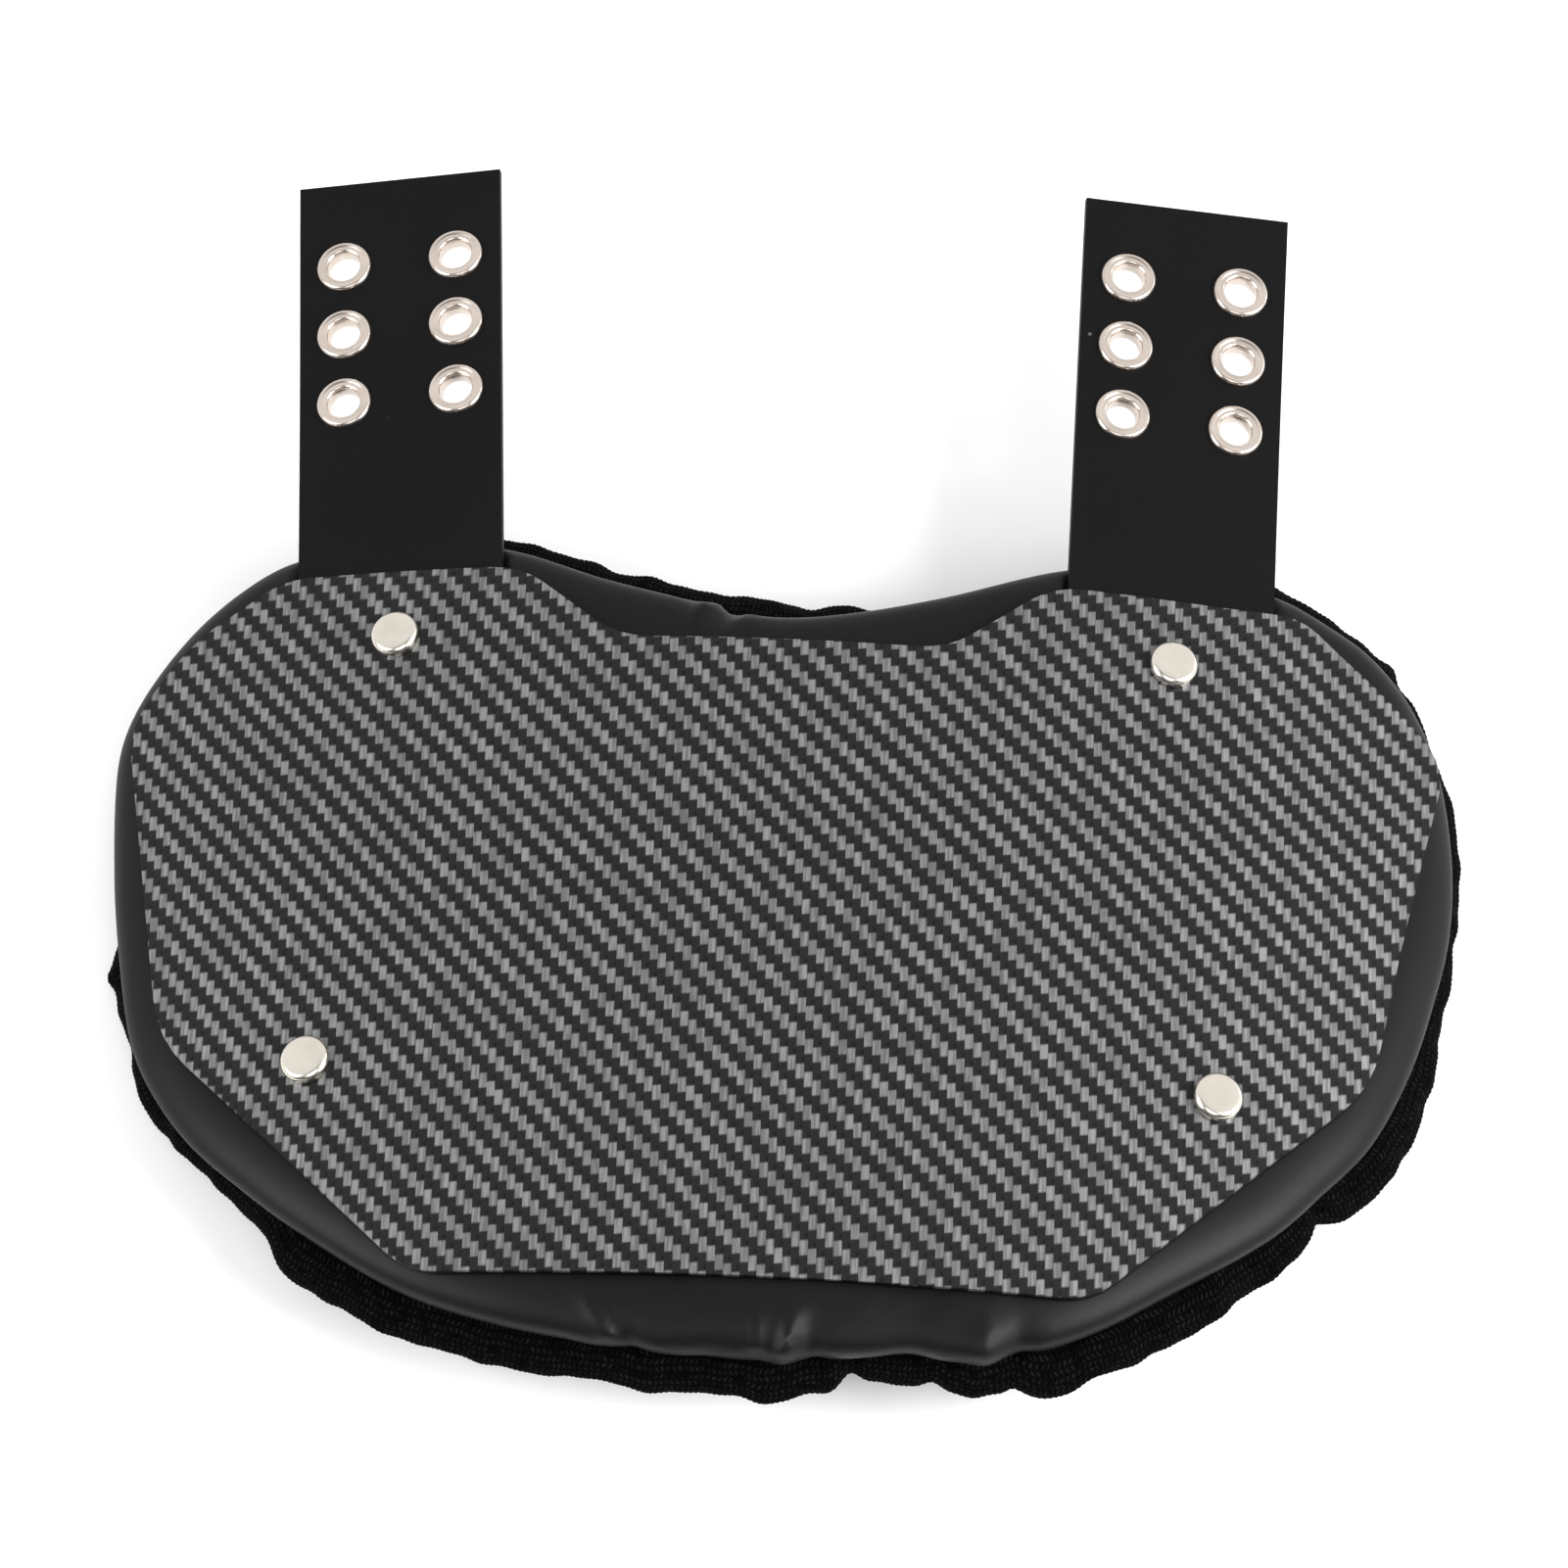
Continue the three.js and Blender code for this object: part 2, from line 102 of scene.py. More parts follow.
class Bench:
    """One mesh object on the bench, with the steps that shape and finish it.

    Attributes:
        TOUCHING: Points closer together than this are one point, in millimetres.
        LEVEL: Faces that turn less than this against each other are one face, in degrees.
        CORNER: Edges that turn more than this are rounded over, in degrees.
        CREASE: Edges that turn more than this still show after that, in degrees.
    """

    TOUCHING = 0.002
    LEVEL = 0.3
    CORNER = 50.0
    CREASE = 35.0

    def __init__(self, piece: bpy.types.Object) -> None:
        """Puts a piece on the bench."""
        self.piece = piece

    @classmethod
    def started(cls, name: str) -> "Bench":
        """Names the primitive that was just added.

        Args:
            name: Name of the piece.

        Returns:
            Bench with that piece.
        """
        piece = bpy.context.active_object
        piece.name = name
        piece.data.name = name
        return cls(piece)

    @classmethod
    def grid(cls, name: str, columns: int, rows: int) -> "Bench":
        """Adds a square cloth of one metre that is to be closed into a cushion.

        Args:
            name: Name of the piece.
            columns: Faces from left to right.
            rows: Faces from bottom to top.

        Returns:
            Bench with the cloth.
        """
        bpy.ops.object.select_all(action="DESELECT")
        bpy.ops.mesh.primitive_grid_add(x_subdivisions=columns, y_subdivisions=rows, size=1.0)
        return cls.started(name)

    @classmethod
    def line(cls, name: str, points: Sequence[Pair]) -> "Bench":
        """Draws a profile by extruding one point from place to place.

        Args:
            name: Name of the piece.
            points: Radius and height of each place, in millimetres.

        Returns:
            Bench with the profile, in the plane of x and z.
        """
        bpy.ops.object.select_all(action="DESELECT")
        bpy.ops.mesh.primitive_plane_add(size=MM)
        bench = cls.started(name)
        places = [Vector((radius * MM, 0.0, height * MM)) for radius, height in points]
        with bench.editing(Select.POINTS):
            bpy.ops.mesh.merge(type="CENTER")
            bpy.ops.transform.translate(value=places[0])
            for before, after in zip(places, places[1:]):
                bpy.ops.mesh.extrude_region_move(
                    TRANSFORM_OT_translate={"value": tuple(after - before)}
                )
        return bench

    @classmethod
    def from_node(cls, node: str, name: str) -> "Bench":
        """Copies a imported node's mesh and joins its loose triangles into clean faces.

        Args:
            node: Name of the node.
            name: Name of the new piece.

        Returns:
            Bench with the copy.
        """
        mesh = frame["nodes"][node].data.copy()
        mesh.materials.clear()
        piece = bpy.data.objects.new(name, mesh)
        bpy.context.scene.collection.objects.link(piece)
        bench = cls(piece)
        bench.merge()
        with bench.editing(Select.FACES):
            bpy.ops.mesh.dissolve_limited(angle_limit=math.radians(cls.LEVEL))
        return bench

    def take(self) -> None:
        """Selects this piece alone and makes it active."""
        bpy.ops.object.select_all(action="DESELECT")
        self.piece.select_set(True)
        bpy.context.view_layer.objects.active = self.piece

    @contextmanager
    def editing(self, mode: Select) -> Iterator[None]:
        """Edit mode on this piece, with all of it selected.

        Args:
            mode: What a pick selects.

        Yields:
            Nothing.
        """
        self.take()
        bpy.ops.object.mode_set(mode="EDIT")
        bpy.ops.mesh.select_mode(type=mode.value)
        bpy.ops.mesh.select_all(action="SELECT")
        yield
        bpy.ops.object.mode_set(mode="OBJECT")

    def merge(self) -> None:
        """Joins points that touch."""
        with self.editing(Select.POINTS):
            bpy.ops.mesh.remove_doubles(threshold=self.TOUCHING * MM)

    def face_out(self) -> None:
        """Turns all faces of the closed shape outwards."""
        with self.editing(Select.FACES):
            bpy.ops.mesh.normals_make_consistent(inside=False)

    def sliced(self, points: Sequence[Vector], way: Vector) -> None:
        """Draws edges across the faces, so that they can bend there.

        Args:
            points: A point of each cut.
            way: Direction square to the cuts.
        """
        with self.editing(Select.POINTS):
            for point in points:
                bpy.ops.mesh.select_all(action="SELECT")
                bpy.ops.mesh.bisect(plane_co=point, plane_no=way)

    def turn_on_axis(self, steps: int) -> None:
        """Spins the profile once round z and closes it.

        Args:
            steps: Faces round the turn.
        """
        with self.editing(Select.POINTS):
            bpy.ops.mesh.spin(steps=steps, angle=FULL_TURN, center=(0, 0, 0), axis=(0, 0, 1))
        self.merge()
        self.face_out()

    def modify(self, kind: str, **settings: Any) -> None:
        """Adds a modifier and applies it.

        Args:
            kind: Type of the modifier.
            **settings: Values of its settings.
        """
        self.take()
        modifier = self.piece.modifiers.new(kind.lower(), kind)
        for name, value in settings.items():
            setattr(modifier, name, value)
        bpy.ops.object.modifier_apply(modifier=modifier.name)

    def round_over(self, width: float, steps: int) -> None:
        """Rounds the corners over.

        Args:
            width: Width that is taken off, in millimetres.
            steps: Faces round a corner.
        """
        self.modify(
            "BEVEL",
            width=width * MM,
            segments=steps,
            limit_method="ANGLE",
            angle_limit=math.radians(self.CORNER),
        )

    def smooth(self, degrees: float) -> None:
        """Shades smoothly over every edge that turns less than that."""
        self.take()
        bpy.ops.object.shade_smooth_by_angle(angle=math.radians(degrees))

    def level(self) -> None:
        """Shades large faces flat and the rounded corners between them smoothly."""
        self.smooth(self.CREASE)
        self.modify("WEIGHTED_NORMAL", keep_sharp=True)

    def places(self) -> np.ndarray:
        """Places of the points in metres, a row for each."""
        points = self.piece.data.vertices
        flat = np.empty(len(points) * 3)
        points.foreach_get("co", flat)
        return flat.reshape(-1, 3)

    def reshape(self, move: Callable[[np.ndarray], np.ndarray]) -> None:
        """Moves the points of the mesh.

        Args:
            move: Gives the new places of an array of places, in metres.
        """
        mesh = self.piece.data
        mesh.vertices.foreach_set("co", move(self.places()).ravel())
        mesh.update()

    def lay_map(self, name: str, chart: np.ndarray) -> None:
        """Gives the piece its own map from a value at each point.

        Args:
            name: Name of the map.
            chart: Two lengths at each point, in metres.
        """
        mesh = self.piece.data
        corners = np.empty(len(mesh.loops), dtype=np.int32)
        mesh.loops.foreach_get("vertex_index", corners)
        layer = mesh.uv_layers.get(name) or mesh.uv_layers.new(name=name)
        layer.data.foreach_set("uv", chart[corners].ravel())

    def copied(self, name: str, place: Matrix) -> "Bench":
        """Copies the piece, with a mesh of its own.

        Args:
            name: Name of the copy.
            place: Where the copy goes.

        Returns:
            Bench with the copy.
        """
        mesh = self.piece.data.copy()
        mesh.name = name
        mesh.transform(place)
        piece = bpy.data.objects.new(name, mesh)
        bpy.context.scene.collection.objects.link(piece)
        return Bench(piece)

    def discard(self) -> None:
        """Takes the piece off the bench once its copies are made."""
        bpy.data.objects.remove(self.piece)

    def hand_over(self, slot: str, finish: bpy.types.Material, *nodes: str) -> bpy.types.Object:
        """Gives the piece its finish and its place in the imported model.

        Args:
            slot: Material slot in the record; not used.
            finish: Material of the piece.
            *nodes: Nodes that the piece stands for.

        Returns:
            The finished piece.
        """
        self.piece.data.materials.clear()
        self.piece.data.materials.append(finish)
        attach(self.piece, BODY)
        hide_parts(*nodes)
        log.info("%s: %d faces", self.piece.name, len(self.piece.data.polygons))
        return self.piece


class Wire:
    """Number on a material's node, with operators that add Math nodes."""

    def __init__(self, sheet: "Sheet", socket: bpy.types.NodeSocket) -> None:
        """Wraps an output socket of the sheet."""
        self.sheet = sheet
        self.socket = socket

    def beside(self, name: str) -> "Wire":
        """Another output of the same node."""
        return Wire(self.sheet, self.socket.node.outputs[name])

    def math(self, operation: str, *values: "Wire | float") -> "Wire":
        """Adds a Math node.

        Args:
            operation: Its operation.
            *values: What it works on.

        Returns:
            Its result.
        """
        sockets = dict(enumerate(values))
        return self.sheet.add("ShaderNodeMath", {"operation": operation}, sockets)

    def __add__(self, other: "Wire | float") -> "Wire":
        """Sum."""
        return self.math("ADD", self, other)

    def __sub__(self, other: "Wire | float") -> "Wire":
        """Difference."""
        return self.math("SUBTRACT", self, other)

    def __rsub__(self, other: float) -> "Wire":
        """Difference, with the number first."""
        return self.math("SUBTRACT", other, self)

    def __mul__(self, other: "Wire | float") -> "Wire":
        """Product."""
        return self.math("MULTIPLY", self, other)

    def __truediv__(self, other: "Wire | float") -> "Wire":
        """Quotient."""
        return self.math("DIVIDE", self, other)

    def __mod__(self, other: "Wire | float") -> "Wire":
        """Rest after division, never negative."""
        return self.math("FLOORED_MODULO", self, other)

    def floor(self) -> "Wire":
        """Whole number below."""
        return self.math("FLOOR", self)

    def cosine(self) -> "Wire":
        """Cosine of an angle in radians."""
        return self.math("COSINE", self)

    def size(self) -> "Wire":
        """Value without its sign."""
        return self.math("ABSOLUTE", self)

    def ramp(self, low: float, high: float) -> "Wire":
        """Eased ramp, 0 at the low value and 1 at the high one."""
        sockets = {"Value": self, "From Min": low, "From Max": high}
        return self.sheet.add("ShaderNodeMapRange", {"interpolation_type": "SMOOTHSTEP"}, sockets)


class Sheet:
    """Node sheet of a material or of the studio's air, which ends in its shader.

    Attributes:
        MIX_MASK: Number of the Mix node's factor.
        MIX_LOW: Number of its first colour.
        MIX_HIGH: Number of its second colour.
        MIX_COLOUR: Number of the colour that it gives.
    """

    MIX_MASK = 0
    MIX_LOW = 6
    MIX_HIGH = 7
    MIX_COLOUR = 2

    def __init__(self, owner: bpy.types.ID, shader: str, **constants: Any) -> None:
        """Starts a sheet.

        Args:
            owner: Material or world.
            shader: Name of the shader that it starts with.
            **constants: Values of the shader's own sockets, spaces written as underscores.
        """
        owner.use_nodes = True
        self.material = owner
        self.nodes = owner.node_tree.nodes
        self.links = owner.node_tree.links
        self.shader = self.nodes[shader]
        for key, value in constants.items():
            self.shader.inputs[key.replace("_", " ")].default_value = value

    @classmethod
    def finish(cls, name: str, **constants: Any) -> "Sheet":
        """Starts a material.

        Args:
            name: Name of the material.
            **constants: Values of its shader's own sockets.

        Returns:
            Its sheet.
        """
        return cls(bpy.data.materials.new(name), "Principled BSDF", **constants)

    def add(
        self,
        kind: str,
        settings: Mapping[str, Any] = EMPTY,
        sockets: Mapping[str | int, Any] = EMPTY,
        give: str | int = 0,
    ) -> Wire:
        """Adds a node.

        Args:
            kind: Type of the node.
            settings: Values of its settings, set before its sockets.
            sockets: Values or links of its sockets.
            give: Output that is wanted.

        Returns:
            That output.
        """
        node = self.nodes.new(kind)
        for name, value in settings.items():
            setattr(node, name, value)
        for key, value in sockets.items():
            self.feed(node.inputs[key], value)
        return Wire(self, node.outputs[give])

    def feed(self, socket: bpy.types.NodeSocket, value: Any) -> None:
        """Links a wire to a socket, or sets the socket's own value.

        Args:
            socket: The socket.
            value: A wire or a value.
        """
        if isinstance(value, Wire):
            self.links.new(value.socket, socket)
        else:
            socket.default_value = value

    def vary(self, **values: Wire) -> None:
        """Links what changes over the surface to the shader, spaces written as underscores."""
        for key, value in values.items():
            self.feed(self.shader.inputs[key.replace("_", " ")], value)

    def split(self, vector: Wire) -> Wire:
        """First part of a vector, the others beside it."""
        return self.add("ShaderNodeSeparateXYZ", EMPTY, {"Vector": vector})

    def join(self, x: Wire | float, y: Wire | float, z: Wire | float = 0.0) -> Wire:
        """Vector from three numbers."""
        return self.add("ShaderNodeCombineXYZ", EMPTY, {"X": x, "Y": y, "Z": z})

    def chart(self, name: str) -> Wire:
        """The piece's own map."""
        return self.add("ShaderNodeUVMap", {"uv_map": name})

    def place(self) -> Wire:
        """Place on the object."""
        return self.add("ShaderNodeTexCoord", give="Object")

    def noise(self, vector: Wire, scale: float, detail: float) -> Wire:
        """Soft noise around a half.

        Args:
            vector: Where it is read.
            scale: Grains in each unit of the vector.
            detail: Finer layers.

        Returns:
            Numbers from 0 to 1.
        """
        sockets = {"Vector": vector, "Scale": scale, "Detail": detail}
        return self.add("ShaderNodeTexNoise", EMPTY, sockets)

    def blend(self, mask: Wire, low: Wire | Triple, high: Wire | Triple) -> Wire:
        """Colour between two colours.

        Args:
            mask: 0 for the first colour and 1 for the second.
            low: First colour, a wire or its red, green and blue.
            high: Second colour.

        Returns:
            The colour.
        """
        sockets = {self.MIX_MASK: mask}
        for key, colour in ((self.MIX_LOW, low), (self.MIX_HIGH, high)):
            sockets[key] = colour if isinstance(colour, Wire) else (*colour, 1.0)
        return self.add("ShaderNodeMix", {"data_type": "RGBA"}, sockets, give=self.MIX_COLOUR)

    def bump(self, height: Wire, depth: float, strength: float) -> Wire:
        """Relief on the surface.

        Args:
            height: Height from 0 to 1.
            depth: Depth of the relief in millimetres.
            strength: How strongly it shows.

        Returns:
            The normal.
        """
        sockets = {"Height": height, "Distance": depth * MM, "Strength": strength}
        return self.add("ShaderNodeBump", EMPTY, sockets)


@dataclass(frozen=True)
class TwillFilm:
    """Glossy printed film with a two by two twill, light warp floats on a dark ground.

    One map of the piece runs along the arch and along the plate, the other holds the height over
    the plate's outer face, where the film ends at the rounded edge.

    Attributes:
        chart: Name of the first map.
        depth: Name of the second map.
        across_pitch: Width of a column of floats, in millimetres.
        along_pitch: Length of a step between two columns.
        repeat: Steps from a float to the next one in its column.
        float_length: Length of a float in steps.
        edge: Length of its soft ends.
        slant: Slope of a float's ends.
        film_end: Heights where the film has ended and where it starts to.
        unevenness: Grains of the pattern's drift in a metre.
        drift: How far the pattern drifts, in steps.
        side: Distances from a float's middle between which the painted shade at its side comes in,
            in its widths.
        fibre: Grains of the fibres across and along, in each step.
        fibre_shift: How far luck shifts the fibres of a float across and into the noise.
        fibre_light: Noise between which a fibre turns from dark to light.
        shine: Light of a float without its fibres.
        shine_fibre: Light that a fibre adds.
        shine_luck: Light that luck adds to a float.
        side_shade: Light that painted shade takes from a float's sides.
        gap_after: Middle of the gap after a float, in steps from its end.
        gap: Distances from that middle between which the gap's painted shade ends.
        gap_shade: Places across a gap between which its painted shade deepens.
        ground_shine: Light of the ground.
        ground_shade: Light that its speckle adds, and that the painted shade in a gap takes away.
        speckle: Grains of the ground in a metre.
        handling: Grains of the sheen in a metre.
        metal: How metallic a float is.
        rough: Roughness of the film.
        relief: Depth of its relief, in millimetres.
        strength: How strongly that shows.
        turn: Turn of the film on the plate, in degrees.
        bow: How much its rows bow down at the sides.
        fan: How much it is drawn out towards the top.
        middle_along: Length from the plate's bottom edge to the film's middle.
        ground: Colour of the ground.
        ground_light: Its colour where it is lightest.
        yarn_dark: Colour of a float between its fibres, and where painted shade darkens its sides.
        yarn_light: Colour of its fibres.
    """

    chart: str = "arch"
    depth: str = "depth"
    across_pitch: float = 2.16
    along_pitch: float = 2.31
    repeat: float = 4.0
    float_length: float = 2.05
    edge: float = 0.34
    slant: float = -0.1
    film_end: Pair = (-1.1, -0.35)
    unevenness: float = 11.0
    drift: float = 0.6
    side: Pair = (0.3, 0.5)
    fibre: Pair = (2.6, 0.22)
    fibre_shift: Pair = (7.0, 5.0)
    fibre_light: Pair = (0.36, 0.68)
    shine: float = 0.24
    shine_fibre: float = 0.6
    shine_luck: float = 0.16
    side_shade: float = 0.32
    gap_after: float = 0.3
    gap: Pair = (0.1, 0.5)
    gap_shade: Pair = (0.4, 0.85)
    ground_shine: float = 0.34
    ground_shade: float = 0.5
    speckle: float = 900.0
    handling: float = 24.0
    metal: float = 0.75
    rough: float = 0.36
    relief: float = 0.05
    strength: float = 0.35
    turn: float = -1.2
    bow: float = 0.00036
    fan: float = 0.00014
    middle_along: float = 100.0
    ground: Triple = (0.0012, 0.0012, 0.0015)
    ground_light: Triple = (0.013, 0.013, 0.0142)
    yarn_dark: Triple = (0.088, 0.09, 0.092)
    yarn_light: Triple = (0.26, 0.262, 0.262)

    def lie(self, across: np.ndarray, along: np.ndarray) -> np.ndarray:
        """Lays the film on the plate, a little turned, bowed and drawn out towards the top.

        Args:
            across: Arc lengths from the plate's middle, in millimetres.
            along: Lengths from its bottom edge.

        Returns:
            Place on the film of each point, in metres.
        """
        lean = math.radians(self.turn)
        rise = along - self.middle_along
        u = (across - lean * rise) / (1.0 + self.fan * rise)
        v = rise + lean * across - self.bow * across**2
        return np.stack([u, v], axis=1) * MM

    def material(self) -> bpy.types.Material:
        """Builds the film's material."""
        sheet = Sheet.finish(
            "twill_film", Specular_IOR_Level=0.16, Coat_Roughness=0.16, Coat_IOR=1.45
        )
        chart = sheet.chart(self.chart)
        wander = (sheet.noise(chart, self.unevenness, 1.0) - 0.5) * self.drift
        x = sheet.split(chart)
        across = x / (self.across_pitch * MM) + wander
        along = x.beside("Y") / (self.along_pitch * MM) + wander
        column = across.floor()
        inside = across - column
        thread = along + column + inside * self.slant
        turn = thread % self.repeat
        start = turn.ramp(0.0, self.edge)
        end = 1.0 - turn.ramp(self.float_length - self.edge, self.float_length)
        ended, starts = self.film_end
        face = sheet.split(sheet.chart(self.depth)).ramp(ended * MM, starts * MM)
        mask = start * end * face
        cell = sheet.join(column, (thread / self.repeat).floor())
        luck = sheet.add("ShaderNodeTexWhiteNoise", {"noise_dimensions": "2D"}, {"Vector": cell})
        streak = self.fibres(across, along, luck)
        # Painted shade: a float's colour darkens towards its sides, as if its rounded sides turned
        # from the light.
        side = (inside - 0.5).size().ramp(*self.side)
        shine = streak * self.shine_fibre + luck * self.shine_luck + self.shine
        yarn = sheet.blend(shine - side * self.side_shade, self.yarn_dark, self.yarn_light)
        speckle = sheet.noise(chart, self.speckle, 2.0) * self.ground_shade
        # Painted shade: the ground darkens in the gap just past each float's end, as if a recess
        # were shaded there.
        gap = (turn - self.float_length - self.gap_after).size().ramp(*self.gap)
        gap_shade = (1.0 - gap) * inside.ramp(*self.gap_shade) * self.ground_shade
        shade = (speckle + self.ground_shine - gap_shade) * face
        ground = sheet.blend(shade, self.ground, self.ground_light)
        handled = sheet.noise(sheet.place(), self.handling, 4.0)
        sheet.vary(
            Base_Color=sheet.blend(mask, ground, yarn),
            Metallic=mask * self.metal,
            Roughness=handled * 0.08 + self.rough + mask * 0.06,
            Coat_Weight=handled * 0.05 + 0.03,
            Normal=sheet.bump(mask * 0.7 + streak * 0.3, self.relief, self.strength),
        )
        return sheet.material

    def fibres(self, across: Wire, along: Wire, luck: Wire) -> Wire:
        """Fibres that run along the floats.

        Args:
            across: Place across the columns of floats, in columns.
            along: Place along them, in steps.
            luck: A number for each float.

        Returns:
            0 where a fibre is dark and 1 where it is light.
        """
        grain_across, grain_along = self.fibre
        shift, depth = self.fibre_shift
        strand = luck.sheet.join(
            across * grain_across + luck * shift, along * grain_along, luck * depth
        )
        return luck.sheet.noise(strand, 1.0, 1.5).ramp(*self.fibre_light)


@dataclass(frozen=True)
class StrapPlastic:
    """Black matte plastic sheet with a faint grain and a few pale specks of dust.

    Attributes:
        clouds: Grains of its wear in a metre.
        grain: Grains of its surface in a metre.
        dust: Places in a metre where a speck may lie.
        rare: Luck from which a speck does lie there.
        small: Distances from a speck's middle between which it ends, in places.
        rough: Roughness of the plastic.
        relief: Depth of its grain, in millimetres.
        strength: How strongly that shows.
        base: Its colour.
        worn: Its colour where it is worn.
        speck: Colour of the dust.
    """

    clouds: float = 18.0
    grain: float = 1400.0
    dust: float = 130.0
    rare: Pair = (0.972, 0.985)
    small: Pair = (0.03, 0.1)
    rough: float = 0.42
    relief: float = 0.03
    strength: float = 0.25
    base: Triple = (0.0022, 0.0022, 0.0024)
    worn: Triple = (0.0042, 0.0042, 0.0045)
    speck: Triple = (0.09, 0.09, 0.088)

    def material(self) -> bpy.types.Material:
        """Builds the plastic's material."""
        sheet = Sheet.finish("strap_plastic", Specular_IOR_Level=0.1)
        place = sheet.place()
        cloud = sheet.noise(place, self.clouds, 3.0)
        grain = sheet.noise(place, self.grain, 2.0)
        colour = sheet.blend(cloud, self.base, self.worn)
        cells = sheet.add("ShaderNodeTexVoronoi", EMPTY, {"Vector": place, "Scale": self.dust})
        rare = sheet.split(cells.beside("Color")).ramp(*self.rare)
        near = 1.0 - cells.ramp(*self.small)
        sheet.vary(
            Base_Color=sheet.blend(near * rare, colour, self.speck),
            Roughness=grain * 0.12 + cloud * 0.06 + self.rough,
            Normal=sheet.bump(grain, self.relief, self.strength),
        )
        return sheet.material


@dataclass(frozen=True)
class Nickel:
    """Bright warm nickel with fine rub marks.

    Attributes:
        name: Name of the material.
        clean: Its colour.
        dull: Its colour where it is smeared.
        smears: Grains of the smears in a metre.
        smeared: Noise between which the metal turns from clean to dull.
        rubs: Grains of the rub marks in a metre.
        rough: Roughness of the metal.
        relief: Depth of the rub marks, in millimetres.
        strength: How strongly that shows.
    """

    name: str
    clean: Triple = (0.8, 0.755, 0.67)
    dull: Triple = (0.7, 0.65, 0.57)
    smears: float = 140.0
    smeared: Pair = (0.2, 0.9)
    rubs: float = 1900.0
    rough: float = 0.2
    relief: float = 0.006
    strength: float = 0.02

    def material(self) -> bpy.types.Material:
        """Builds the metal's material."""
        sheet = Sheet.finish(self.name, Metallic=1.0)
        place = sheet.place()
        smear = sheet.noise(place, self.smears, 2.0)
        rub = sheet.noise(place, self.rubs, 2.0)
        sheet.vary(
            Base_Color=sheet.blend(smear.ramp(*self.smeared), self.clean, self.dull),
            Roughness=smear * 0.06 + rub * 0.02 + self.rough,
            Normal=sheet.bump(rub, self.relief, self.strength),
        )
        return sheet.material


@dataclass(frozen=True)
class CoverNylon:
    """Smooth black nylon with a dull satin sheen.

    Attributes:
        clouds: Grains of its unevenness in a metre.
        weave: Grains of its weave in a metre.
        rough: Roughness of the nylon.
        relief: Depth of its relief, in millimetres.
        strength: How strongly that shows.
        base: Its colour.
        raised: Its colour where it is raised.
    """

    clouds: float = 30.0
    weave: float = 2600.0
    rough: float = 0.4
    relief: float = 0.12
    strength: float = 0.35
    base: Triple = (0.0012, 0.0012, 0.0014)
    raised: Triple = (0.0036, 0.0037, 0.0041)

    def material(self) -> bpy.types.Material:
        """Builds the nylon's material."""
        sheet = Sheet.finish(
            "cover_nylon", Specular_IOR_Level=0.16, Sheen_Weight=0.008, Sheen_Roughness=0.4
        )
        place = sheet.place()
        cloud = sheet.noise(place, self.clouds, 3.0)
        fine = sheet.noise(place, self.weave, 1.0)
        sheet.vary(
            Base_Color=sheet.blend(cloud * 0.5 + fine * 0.5, self.base, self.raised),
            Roughness=fine * 0.14 + self.rough,
            Normal=sheet.bump(fine * 0.4 + cloud * 0.6, self.relief, self.strength),
        )
        return sheet.material


